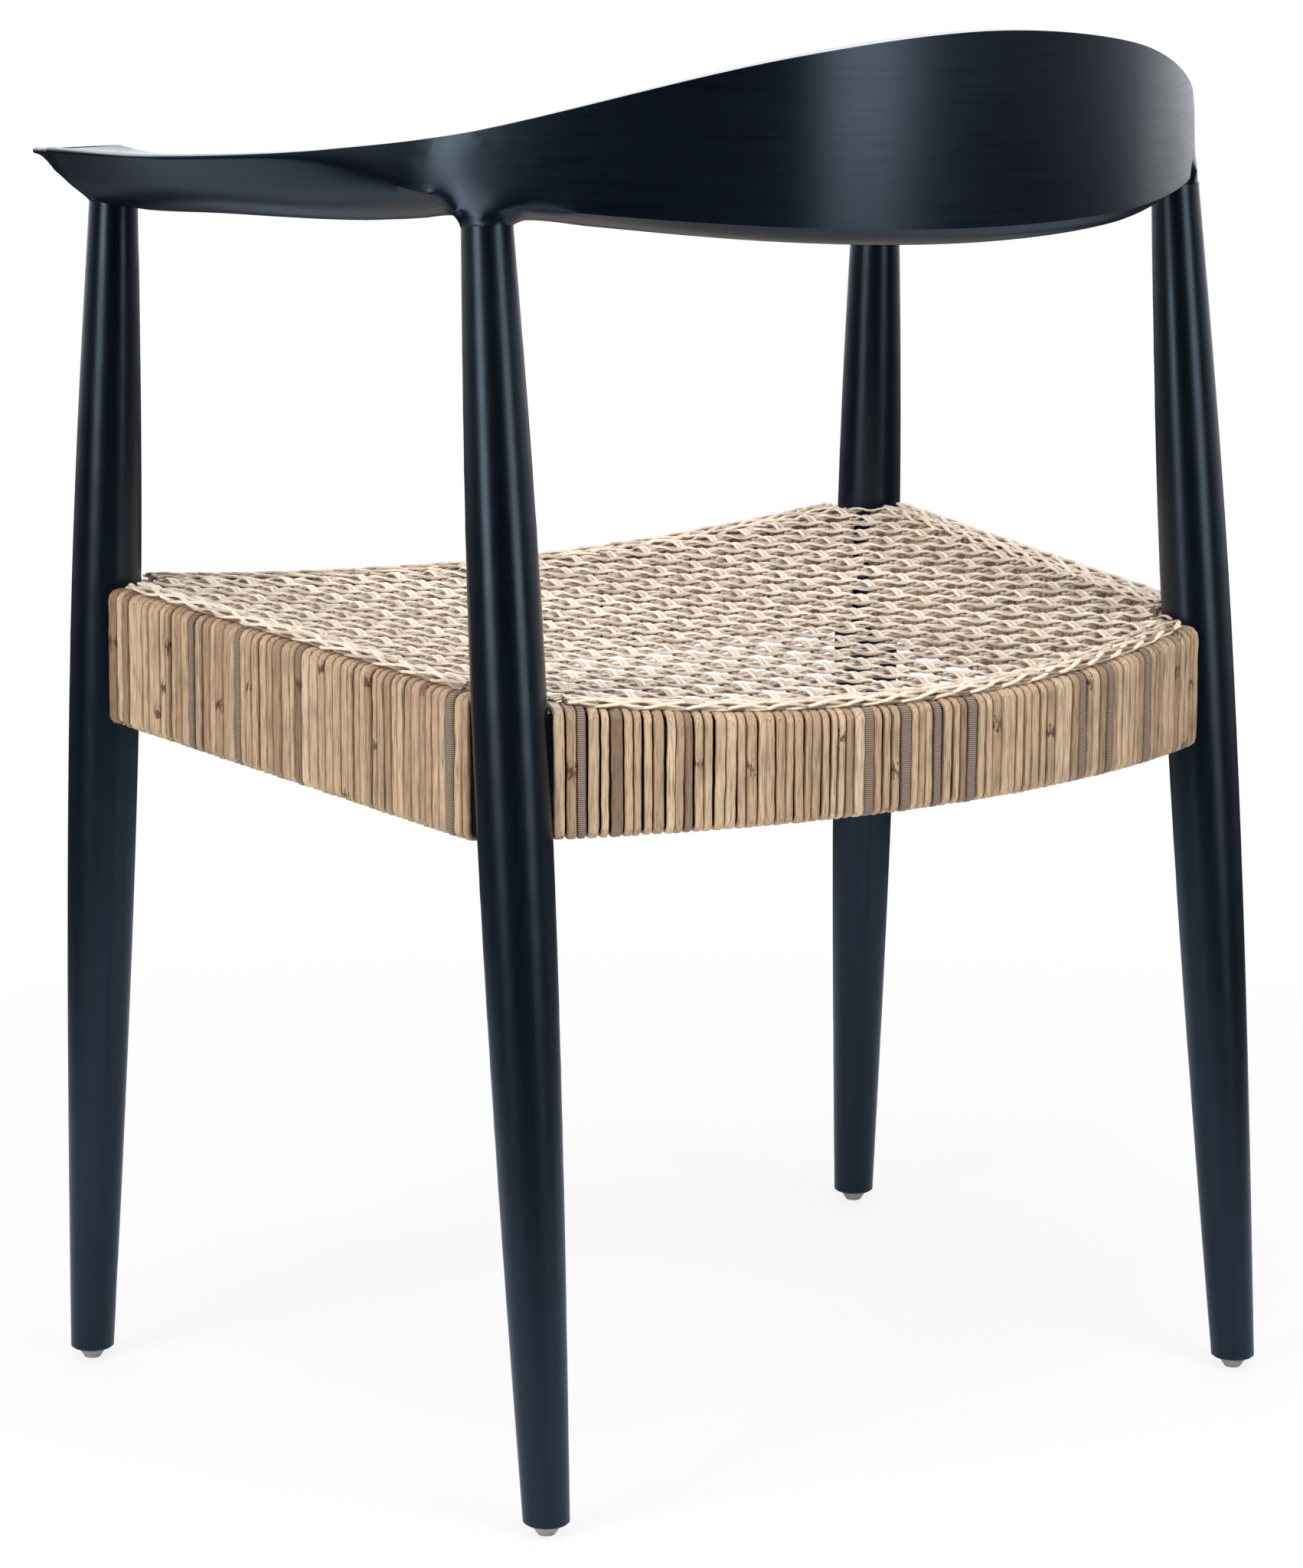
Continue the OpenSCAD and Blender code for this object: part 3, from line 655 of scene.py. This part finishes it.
def winding_tree():
    """Strands of uneven width wound side by side round a rail; its half height is on the path."""
    tree, given = new_tree("wind_strands", [
        "Strand Width", "Strand Thickness", "Rail Width", "Half Height", "Top Bend", "Bottom Bend",
        "Low", "High"], {"Strands": "Int"})
    path = add(tree, "GeometryNodeMeshToCurve", {"Mesh": given["Geometry"]})
    # One strand: a rectangle with rounded corners, swept with a flat rounded profile
    inner = less(tree, given["Rail Width"], given["Strand Thickness"])
    height = less(tree, times(tree, given["Half Height"], 2.0), given["Strand Thickness"])
    loop = add(tree, "GeometryNodeCurvePrimitiveQuadrilateral", {"Width": inner, "Height": height})
    where = add(tree, "GeometryNodeInputPosition")
    upper = math_node(tree, "GREATER_THAN", coordinate(tree, where, "Y"), 0.0)
    bend = add(tree, "GeometryNodeSwitch",
               {"Switch": upper, "False": given["Bottom Bend"], "True": given["Top Bend"]},
               input_type="FLOAT")
    rounded = add(tree, "GeometryNodeFilletCurve",
                  {"Curve": loop, "Count": 6, "Radius": bend}, mode="POLY")
    even = add(tree, "GeometryNodeResampleCurve",
               {"Curve": rounded, "Length": 2.6 * MM}, mode="LENGTH")
    upright = add(tree, "GeometryNodeSetCurveNormal", {"Curve": even}, mode="Z_UP")
    flat = add(tree, "GeometryNodeCurvePrimitiveQuadrilateral",
               {"Width": given["Strand Thickness"], "Height": given["Strand Width"]})
    profile = add(tree, "GeometryNodeFilletCurve",
                  {"Curve": flat, "Count": 2,
                   "Radius": times(tree, given["Strand Thickness"], 0.36)}, mode="POLY")
    strand = add(tree, "GeometryNodeCurveToMesh", {"Curve": upright, "Profile Curve": profile})
    quarter = math.pi / 2
    turned = add(tree, "GeometryNodeTransform",
                 {"Geometry": strand, "Rotation": (quarter, 0.0, quarter)})
    # Strands of random width, each beside the one before
    wide = random_value(tree, "FLOAT", given["Low"], given["High"], given["Seed"])
    spots = add(tree, "GeometryNodePoints", {"Count": given["Strands"]})
    before = add(tree, "GeometryNodeAccumulateField", {0: wide})
    centre = plus(tree, before.outputs["Trailing"], times(tree, wide, 0.5))
    share = math_node(tree, "DIVIDE", centre, before.outputs["Total"])
    found = add(tree, "GeometryNodeSampleCurve",
                {"Curves": path, "Value": stored(tree, "half_height"), "Factor": share},
                mode="FACTOR", use_all_curves=True)
    run = vector_math(tree, "MULTIPLY", found.outputs["Tangent"], (1, 1, 0))
    facing = add(tree, "FunctionNodeAlignRotationToVector", {"Vector": run}, axis="X", pivot_axis="Z")
    ratio = math_node(tree, "DIVIDE", enabled(found.outputs, "Value"), given["Half Height"])
    snug = random_value(tree, "FLOAT", 0.7, 0.98, plus(tree, given["Seed"], 5.0))
    full = random_value(tree, "FLOAT", 0.96, 1.02, plus(tree, given["Seed"], 1.0))
    scale = combined(tree, X=times(tree, wide, snug), Y=full, Z=ratio)
    placed = add(tree, "GeometryNodeSetPosition",
                 {"Geometry": spots, "Position": found.outputs["Position"]})
    wound = add(tree, "GeometryNodeInstanceOnPoints",
                {"Points": placed, "Instance": turned, "Rotation": facing, "Scale": scale})
    lean = random_value(tree, "FLOAT_VECTOR", (-0.004, -0.011, -0.03), (0.004, 0.011, 0.03),
                        plus(tree, given["Seed"], 2.0))
    leaned = add(tree, "GeometryNodeRotateInstances", {"Instances": wound, "Rotation": lean})
    # Numbers that the material reads: shade, which strands are ribbed, height of the leaf scar
    marked = leaned
    marks = (("tint", 0.0, 1.0), ("chance", 0.0, 1.0), ("scar", 0.16, 0.52))
    for step, (label, low, high) in enumerate(marks):
        value = random_value(tree, "FLOAT", low, high, plus(tree, given["Seed"], 6.0 + step))
        marked = store(tree, marked, "INSTANCE", label, value)
    real = add(tree, "GeometryNodeRealizeInstances", {"Geometry": marked})
    # Slight waviness along each strand
    wavy = moved(tree, real, stray(tree, where, 90.0, (0.9 * MM, 0.9 * MM, 0.9 * MM)))
    end_tree(tree, wavy, given["Material"])
    return tree


WINDING = winding_tree()
bound_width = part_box("front_rail_binding")[1][1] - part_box("front_rail_binding")[0][1]
for seed, rail in enumerate(("front_rail", "rear_rail", "left_rail", "right_rail")):
    path, half = binding_path(rail + "_binding")
    length = sum((Vector(b) - Vector(a)).length for a, b in zip(path, path[1:]))
    line = line_mesh(rail + "_path", [path], {"half_height": half})
    strands = grow(rail + "_strands", line, WINDING, {
        "Strands": round(length / STRAND_WIDTH), "Strand Width": STRAND_WIDTH,
        "Strand Thickness": STRAND_THICKNESS, "Rail Width": bound_width,
        "Half Height": sum(half) / len(half), "Top Bend": TOP_BEND, "Bottom Bend": BOTTOM_BEND,
        "Low": 0.72, "High": 1.28, "Seed": 20 * seed, "Material": peel})
    finish_piece(strands, rail + "_binding")


# Woven seat

def hull(points):
    """Convex outline of plan points, anticlockwise."""
    points = sorted(map(tuple, points))
    sides = []
    for sweep in (points, points[::-1]):
        line = []
        for p in sweep:
            while len(line) > 1 and ((line[-1][0] - line[-2][0]) * (p[1] - line[-2][1])
                                     - (line[-1][1] - line[-2][1]) * (p[0] - line[-2][0])) <= 0:
                line.pop()
            line.append(p)
        sides += line[:-1]
    return np.array(sides)


def inset(outline, distance):
    """Convex outline moved inwards."""
    edges = np.roll(outline, -1, axis=0) - outline
    keep = np.hypot(*edges.T) > 0.5 * MM
    outline, edges = outline[keep], edges[keep]
    normals = np.stack([-edges[:, 1], edges[:, 0]], axis=1) / np.hypot(*edges.T)[:, None]
    offsets = (outline * normals).sum(axis=1) + distance
    result = []
    for k in range(len(outline)):
        pair = np.array([normals[k - 1], normals[k]])
        if abs(np.linalg.det(pair)) < 1e-4:
            result.append(outline[k] + normals[k] * distance)
        else:
            result.append(np.linalg.solve(pair, [offsets[k - 1], offsets[k]]))
    return np.array(result)


def inside(outline, x, y):
    """Whether plan points lie in a convex outline."""
    result = np.ones_like(x, dtype=bool)
    for a, b in zip(outline, np.roll(outline, -1, axis=0)):
        result &= (b[0] - a[0]) * (y - a[1]) - (b[1] - a[1]) * (x - a[0]) >= 0
    return result


def top_surface(points):
    """Top of the weave, fitted to its upper points: level, slope along Y, bend along X."""
    terms = np.stack([np.ones(len(points)), points[:, 1], points[:, 0] ** 2], axis=1)
    middle = terms @ np.linalg.lstsq(terms, points[:, 2], rcond=None)[0]
    upper = points[:, 2] > middle
    return np.linalg.lstsq(terms[upper], points[upper, 2], rcond=None)[0]


def leg_centres(height):
    """Where the legs stand at a height, in plan."""
    near = 30 * MM
    centres = []
    for leg in LEGS:
        cut = node_points(leg)
        cut = cut[np.abs(cut[:, 2] - height) < near]
        centres.append((cut[:, 0].min() + cut[:, 0].max(), cut[:, 1].min() + cut[:, 1].max()))
    return np.array(centres) / 2


weave_points = node_points("seat_weave")
weave_top = top_surface(weave_points)
outline = hull(weave_points[:, :2])
leg_spots = leg_centres(weave_points[:, 2].mean())


def seat_height(x, y):
    """Height of the weave's top surface."""
    return weave_top[0] + weave_top[1] * y + weave_top[2] * x * x


def seat_sheet(distance):
    """Fine sheet in the weave's surface, inset from its outline and notched round the legs."""
    edge = inset(outline, distance)
    step = 3 * MM
    notch = 23 * MM
    xs = np.arange(outline[:, 0].min(), outline[:, 0].max(), step)
    ys = np.arange(outline[:, 1].min(), outline[:, 1].max(), step)
    grid_x, grid_y = np.meshgrid(xs, ys)
    points = np.stack([grid_x, grid_y, seat_height(grid_x, grid_y)], axis=-1).reshape(-1, 3)
    good = inside(edge, points[:, 0], points[:, 1])
    for spot in leg_spots:
        good &= np.hypot(points[:, 0] - spot[0], points[:, 1] - spot[1]) > notch
    good = good.reshape(grid_x.shape)
    faces = []
    for j in range(len(ys) - 1):
        for i in range(len(xs) - 1):
            if good[j:j + 2, i:i + 2].all():
                a = j * len(xs) + i
                faces.append((a, a + 1, a + len(xs) + 1, a + len(xs)))
    mesh = bpy.data.meshes.new("seat_sheet")
    mesh.from_pydata(points.tolist(), [], faces)
    return new_object("seat_sheet", mesh)


def swept(tree, curve, given):
    """Flat oval strands along curves, lying level."""
    level = add(tree, "GeometryNodeSetCurveNormal", {"Curve": curve}, mode="Z_UP")
    ring = add(tree, "GeometryNodeCurvePrimitiveCircle", {"Resolution": 8, "Radius": 0.5})
    size = combined(tree, X=given["Width"], Y=given["Thickness"], Z=1.0)
    oval = add(tree, "GeometryNodeTransform", {"Geometry": ring, "Scale": size})
    strand = add(tree, "GeometryNodeCurveToMesh",
                 {"Curve": level, "Profile Curve": oval, "Fill Caps": True})
    return strand.outputs[0]


def laying_tree():
    """Long strands laid over a sheet: cut at its edge, at its height, waving over and under."""
    tree, given = new_tree("lay_strands", [
        "Angle", "Length", "Step", "Height", "Wave", "Wave Length", "Wave Phase", "Braid",
        "Braid Rise", "Braid Length", "Width", "Thickness"],
        {"Sheet": "Object", "Wave Axis": "Vector"})
    count = math_node(tree, "DIVIDE", given["Length"], given["Step"])
    line = add(tree, "GeometryNodeMeshLine",
               {"Count": count, "Offset": combined(tree, X=given["Step"]),
                "Start Location": combined(tree, X=times(tree, given["Length"], -0.5))},
               mode="OFFSET")
    laid = add(tree, "GeometryNodeInstanceOnPoints", {"Points": given["Geometry"], "Instance": line})
    tint = random_value(tree, "FLOAT", 0.0, 1.0, given["Seed"])
    tinted = store(tree, laid, "INSTANCE", "tint", tint)
    real = add(tree, "GeometryNodeRealizeInstances", {"Geometry": tinted})
    where = add(tree, "GeometryNodeInputPosition")
    # Strands of one row sway across each other and back, as a flat braid
    run = math_node(tree, "DIVIDE", coordinate(tree, where, "X"), given["Braid Length"])
    angle = times(tree, plus(tree, run, stored(tree, "share")), 2 * math.pi)
    over = math_node(tree, "SINE", times(tree, angle, 2.0))
    braid = combined(tree, Y=times(tree, math_node(tree, "SINE", angle), given["Braid"]),
                     Z=times(tree, over, given["Braid Rise"]))
    turned = add(tree, "GeometryNodeTransform",
                 {"Geometry": moved(tree, real, braid),
                  "Rotation": combined(tree, Z=given["Angle"])})
    # Height of the sheet under each point, and whether there is any
    sheet = add(tree, "GeometryNodeObjectInfo",
                {"Object": given["Sheet"]}, transform_space="RELATIVE")
    above = vector_math(tree, "ADD", where, (0, 0, 2))
    ray = add(tree, "GeometryNodeRaycast",
              {"Target Geometry": sheet.outputs["Geometry"], "Source Position": above,
               "Ray Direction": (0, 0, -1), "Ray Length": 4.0})
    miss = add(tree, "FunctionNodeBooleanMath", {0: ray.outputs["Is Hit"]}, operation="NOT")
    held = store(tree, turned, "POINT", "sheet_z",
                 coordinate(tree, ray.outputs["Hit Position"], "Z"))
    cut = add(tree, "GeometryNodeDeleteGeometry",
              {"Geometry": held, "Selection": miss}, domain="POINT")
    sheet_z = stored(tree, "sheet_z")
    along = less(tree, measure(tree, "DOT_PRODUCT", where, given["Wave Axis"]), given["Wave Phase"])
    phase = math_node(tree, "DIVIDE", along, given["Wave Length"])
    wave = times(tree, math_node(tree, "COSINE", times(tree, phase, 2 * math.pi)), given["Wave"])
    lift = plus(tree, plus(tree, sheet_z, wave), given["Height"])
    sway = stray(tree, where, 60.0, (2.0 * MM, 2.0 * MM, 0.8 * MM), tint)
    risen = moved(tree, cut, vector_math(tree, "ADD", combined(tree, Z=lift), sway))
    # How far each point lies above or below the sheet, for the material, which paints shade on low
    # strands
    level = less(tree, coordinate(tree, where, "Z"), sheet_z)
    noted = store(tree, risen, "POINT", "level", level)
    curve = add(tree, "GeometryNodeMeshToCurve", {"Mesh": noted})
    end_tree(tree, swept(tree, curve, given), given["Material"])
    return tree


def strand_starts(name, rows, strands, apart):
    """Points that the strands of one direction pass through; share is their place in a braid."""
    row_shift = 0.37
    spots = [(0, y + (k - (strands - 1) / 2) * apart, 0) for y in rows for k in range(strands)]
    shares = [(k / strands + row_shift * n) % 1.0 for n in range(len(rows)) for k in range(strands)]
    return line_mesh(name, [[p] for p in spots], {"share": shares})


LAYING = laying_tree()
sheet = seat_sheet(distance=8 * MM)


def gap_phase():
    """Place in Y of the rows of gaps, read from the round holes beside the middle line."""
    near = weave_points[np.abs(weave_points[:, 0]) < 0.2 * MM]
    ys = np.unique(np.round(near[:, 1] / MM, 1))
    angles = np.exp(2j * np.pi * ys * MM / GAP_PITCH)
    # Front and back of a hole lie equally far before and behind its middle
    return np.angle(angles.sum()) / (2 * np.pi) * GAP_PITCH


gap_y = gap_phase()
half_pitch = GAP_PITCH / 2
# Rows reach past the seat on every side; the sheet's edge cuts them
rows_x = [k * GAP_PITCH + half_pitch for k in range(-16, 17)]
rows_y = [gap_y + x for x in rows_x]
slope = math.sqrt(0.5)
rows_slant = [slope * (gap_y + k * GAP_PITCH + half_pitch) for k in range(-34, 35)]
common = {"Sheet": sheet, "Length": 0.9, "Step": 2.5 * MM, "Width": CORE_WIDTH,
          "Thickness": CORE_THICKNESS, "Material": core, "Braid": 0.0, "Braid Rise": 0.0,
          "Braid Length": 3 * GAP_PITCH, "Wave Length": GAP_PITCH}
families = {
    # Rows, strands in a row and their spacing, and the values of the tree
    "seat_strands_across": (rows_y, 3, 0.0, {
        "Angle": 0.0, "Height": -2.9 * MM, "Braid": 2.5 * MM, "Braid Rise": 0.6 * MM,
        "Wave": -0.3 * MM, "Wave Axis": (1, 0, 0), "Wave Phase": half_pitch, "Seed": 1}),
    "seat_strands_lengthways": ([-x for x in rows_x], 2, 3.0 * MM, {
        "Angle": math.pi / 2, "Height": -2.0 * MM, "Wave": 2.0 * MM, "Wave Axis": (0, 1, 0),
        "Wave Phase": gap_y + half_pitch, "Seed": 2}),
    "seat_strands_rising": (rows_slant, 1, 0.0, {
        "Angle": math.pi / 4, "Height": -3.3 * MM, "Wave": 0.5 * MM, "Wave Axis": (1, 0, 0),
        "Wave Length": half_pitch, "Wave Phase": 0.0, "Seed": 3}),
    "seat_strands_falling": (rows_slant, 2, 2.2 * MM, {
        "Angle": -math.pi / 4, "Height": -2.1 * MM, "Wave": 0.8 * MM, "Wave Axis": (1, 0, 0),
        "Wave Length": half_pitch, "Wave Phase": 0.0, "Seed": 4}),
}
seat_pieces = []
for name, (rows, strands, apart, values) in families.items():
    starts = strand_starts(name, rows, strands, apart)
    seat_pieces.append(grow(name, starts, LAYING, {**common, **values}))


# Braided border of the seat

def braiding_tree():
    """Strands that wind round a path side by side; a negative wave length winds the other way."""
    tree, given = new_tree("braid_strands", [
        "Wave Length", "Sway", "Rise", "Start", "Width", "Thickness"], {"Strands": "Int"})
    path = add(tree, "GeometryNodeMeshToCurve", {"Mesh": given["Geometry"]})
    fine = add(tree, "GeometryNodeResampleCurve", {"Curve": path, "Length": 3.0 * MM}, mode="LENGTH")
    copies = add(tree, "GeometryNodeDuplicateElements",
                 {"Geometry": fine, "Amount": given["Strands"]}, domain="SPLINE")
    share = math_node(tree, "DIVIDE", copies.outputs["Duplicate Index"], given["Strands"])
    along = add(tree, "GeometryNodeSplineParameter").outputs["Length"]
    turns = plus(tree, plus(tree, share, given["Start"]),
                 math_node(tree, "DIVIDE", along, given["Wave Length"]))
    angle = times(tree, turns, 2 * math.pi)
    across = times(tree, math_node(tree, "COSINE", angle), given["Sway"])
    up = times(tree, math_node(tree, "SINE", angle), given["Rise"])
    tangent = add(tree, "GeometryNodeInputTangent")
    side = vector_math(tree, "CROSS_PRODUCT", tangent, (0, 0, 1))
    reach = add(tree, "ShaderNodeVectorMath", {0: side, "Scale": across}, operation="SCALE")
    winding = vector_math(tree, "ADD", reach, combined(tree, Z=up))
    where = add(tree, "GeometryNodeInputPosition")
    uneven = stray(tree, where, 25.0, (4.0 * MM, 4.0 * MM, 1.2 * MM), times(tree, turns, 3.0))
    wound = moved(tree, copies.outputs["Geometry"], vector_math(tree, "ADD", winding, uneven))
    tint = random_value(tree, "FLOAT", 0.0, 1.0, given["Seed"])
    tinted = store(tree, wound, "CURVE", "tint", tint)
    # The material reads a level, which is lower for a strand on the underside, and paints shade where
    # it is low
    level = math_node(tree, "MULTIPLY_ADD", up, 1.3, -1.3 * MM)
    noted = store(tree, tinted, "POINT", "level", level)
    end_tree(tree, swept(tree, noted, given), given["Material"])
    return tree


def border_paths(distance):
    """Paths along the four sides of the seat at that distance from its edge: clear of the legs."""
    clear = 27 * MM
    step = 4 * MM
    least_points = 8
    edge = inset(outline, distance)
    dense = []
    for a, b in zip(edge, np.roll(edge, -1, axis=0)):
        steps = max(1, int(np.hypot(*(b - a)) / step))
        dense += [a + (b - a) * k / steps for k in range(steps)]
    free = [min(np.hypot(*(p - s)) for s in leg_spots) > clear for p in dense]
    first = free.index(False)
    runs = [[]]
    for k in (*range(first, len(dense)), *range(first)):
        if free[k]:
            runs[-1].append(dense[k])
        elif runs[-1]:
            runs.append([])
    return [[(x, y, seat_height(x, y)) for x, y in run] for run in runs if len(run) > least_points]


BRAIDING = braiding_tree()
BORDER_STRANDS = 3
BRAIDS = [
    # Distance from the seat's edge, lift, sway, wave length
    (6 * MM, -1.7 * MM, 4.2 * MM, 66 * MM),
    (6.5 * MM, -1.6 * MM, 4.4 * MM, -72 * MM),
    (13 * MM, -2.2 * MM, 4 * MM, 60 * MM),
    (13.5 * MM, -2.1 * MM, 4 * MM, -64 * MM),
]
for number, (distance, lift, sway, wave) in enumerate(BRAIDS):
    lifted = [[(x, y, z + lift) for x, y, z in path] for path in border_paths(distance)]
    braid = grow(f"seat_border_{number + 1}", line_mesh("border_path", lifted), BRAIDING, {
        "Strands": BORDER_STRANDS, "Wave Length": wave, "Sway": sway, "Rise": 1.8 * MM,
        "Start": 0.13 * number, "Width": 1.15 * CORE_WIDTH, "Thickness": 1.25 * CORE_THICKNESS,
        "Seed": 50 + 5 * number, "Material": border_core})
    seat_pieces.append(braid)
bpy.data.objects.remove(sheet)
for piece in seat_pieces:
    finish_piece(piece, "seat_weave")


# Floor, light and camera

# Floor: half its width, and the distances between which its shade and shadows fade to white
FLOOR_HALF = 6.0
FADE_START = 0.35
FADE_END = 1.1
# Share of plain white that the camera sees in it near the chair
NEAR_WHITE = 0.82
# Distance that counts as 1 in the colours that reflections see
MIRROR_REACH = 1.5
# World: its strength beyond the chair, and how much brighter reflections see its backdrop
WORLD_STRENGTH = 1.3
BACKDROP_GAIN = 2.4
# Point that the lamps face
CHAIR_MIDDLE = Vector((0, 0, 0.42))
# Lamps: azimuth and elevation in degrees, distance, width, height, power
LAMPS = {
    "left": (98, 22, 2.6, 1.0, 2.3, 42),
    "right": (190, 22, 2.6, 1.0, 2.3, 30),
    "top": (150, 72, 2.4, 1.6, 1.6, 34),
}


def shader_tree(owner):
    """Emptied node tree of a material or a world."""
    owner.use_nodes = True
    owner.node_tree.nodes.clear()
    return owner.node_tree


def map_range(tree, value, low, high, first, last):
    """Number that goes from first to last while a value goes from low to high."""
    return add(tree, "ShaderNodeMapRange", {
        "Value": value, "From Min": low, "From Max": high, "To Min": first, "To Max": last}).outputs[0]


def mix_shaders(tree, amount, first, second):
    """Mixes the results of two shader nodes."""
    return add(tree, "ShaderNodeMixShader", {0: amount, 1: first, 2: second})


def stage_floor():
    """White studio floor that keeps the chair's soft shadow; reflections see it grey near the
    chair and dark far away."""
    mesh = bpy.data.meshes.new("floor")
    half = FLOOR_HALF
    corners = [(-half, -half, 0), (half, -half, 0), (half, half, 0), (-half, half, 0)]
    mesh.from_pydata(corners, [], [(0, 1, 2, 3)])
    floor = new_object("floor", mesh)
    material = bpy.data.materials.new("floor_white")
    tree = shader_tree(material)
    plain = add(tree, "ShaderNodeBsdfDiffuse", {"Color": (0.9, 0.9, 0.9, 1)})
    glow = add(tree, "ShaderNodeEmission", {"Color": (1, 1, 1, 1), "Strength": 1.0})
    path = add(tree, "ShaderNodeLightPath").outputs
    away = measure(tree, "LENGTH", add(tree, "ShaderNodeTexCoord").outputs["Object"])
    mirrored = ramp(tree, math_node(tree, "DIVIDE", away, MIRROR_REACH),
                    [(0.5, (0.66, 0.73, 0.82)), (0.9, (0.03, 0.035, 0.045))])
    dark = add(tree, "ShaderNodeBsdfDiffuse", {"Color": mirrored})
    # Far from the chair the camera sees plain white, with no horizon
    white = map_range(tree, away, FADE_START, FADE_END, NEAR_WHITE, 1.0)
    lit = mix_shaders(tree, path["Is Glossy Ray"], plain, dark)
    both = mix_shaders(tree, times(tree, path["Is Camera Ray"], white), lit, glow)
    add(tree, "ShaderNodeOutputMaterial", {"Surface": both})
    mesh.materials.append(material)


def stage_world():
    """Light from beyond the chair, none from behind the camera, which itself sees white."""
    world = bpy.data.worlds.new("studio")
    bpy.context.scene.world = world
    tree = shader_tree(world)
    towards = (-math.sin(CAMERA_AZIMUTH), math.cos(CAMERA_AZIMUTH), 0.0)
    direction = add(tree, "ShaderNodeTexCoord").outputs["Generated"]
    facing = measure(tree, "DOT_PRODUCT", direction, towards)
    strength = map_range(tree, facing, -0.3, 0.9, 0.0, WORLD_STRENGTH)
    path = add(tree, "ShaderNodeLightPath").outputs
    # The bright backdrop above the horizon, as level wood mirrors it
    rise = map_range(tree, coordinate(tree, direction, "Z"), 0.04, 0.18, 1.0, BACKDROP_GAIN)
    mirrored = add(tree, "ShaderNodeMix",
                   {"Factor": path["Is Glossy Ray"], "A": 1.0, "B": rise}, data_type="FLOAT")
    power = times(tree, strength, enabled(mirrored.outputs, "Result"))
    dim = add(tree, "ShaderNodeBackground", {"Color": (0.93, 0.96, 1.0, 1), "Strength": power})
    white = add(tree, "ShaderNodeBackground", {"Color": (1, 1, 1, 1), "Strength": 1.0})
    both = mix_shaders(tree, path["Is Camera Ray"], dim, white)
    add(tree, "ShaderNodeOutputWorld", {"Surface": both})


def orbit(azimuth, elevation):
    """Direction from the chair to a place round it; azimuth 0 is in front of the chair."""
    return Vector((math.sin(azimuth) * math.cos(elevation),
                   -math.cos(azimuth) * math.cos(elevation), math.sin(elevation)))


def softbox(name, azimuth, elevation, distance, width, height, power):
    """Area lamp that faces the chair."""
    away = orbit(math.radians(azimuth), math.radians(elevation))
    lamp = bpy.data.lights.new(name, "AREA")
    lamp.shape = "RECTANGLE"
    lamp.size = width
    lamp.size_y = height
    lamp.energy = power
    obj = new_object(name, lamp)
    obj.location = CHAIR_MIDDLE + away * distance
    obj.rotation_euler = away.to_track_quat("Z", "Y").to_euler()


def photo_camera():
    """Camera of the photograph."""
    away = orbit(CAMERA_AZIMUTH, CAMERA_ELEVATION)
    right = (-away).cross(Vector((0, 0, 1))).normalized()
    up = right.cross(-away)
    turned_right = right * math.cos(CAMERA_ROLL) + up * math.sin(CAMERA_ROLL)
    turned_up = up * math.cos(CAMERA_ROLL) - right * math.sin(CAMERA_ROLL)
    data = bpy.data.cameras.new("photo")
    data.lens = CAMERA_LENS
    data.sensor_width = CAMERA_SENSOR
    camera = new_object("photo", data)
    place = Matrix((turned_right, turned_up, away)).transposed().to_4x4()
    place.translation = CAMERA_TARGET + away * CAMERA_DISTANCE
    camera.matrix_world = place
    bpy.context.scene.camera = camera


stage_floor()
stage_world()
for name, values in LAMPS.items():
    softbox(name, *values)
photo_camera()
bpy.context.scene.view_settings.view_transform = "Standard"
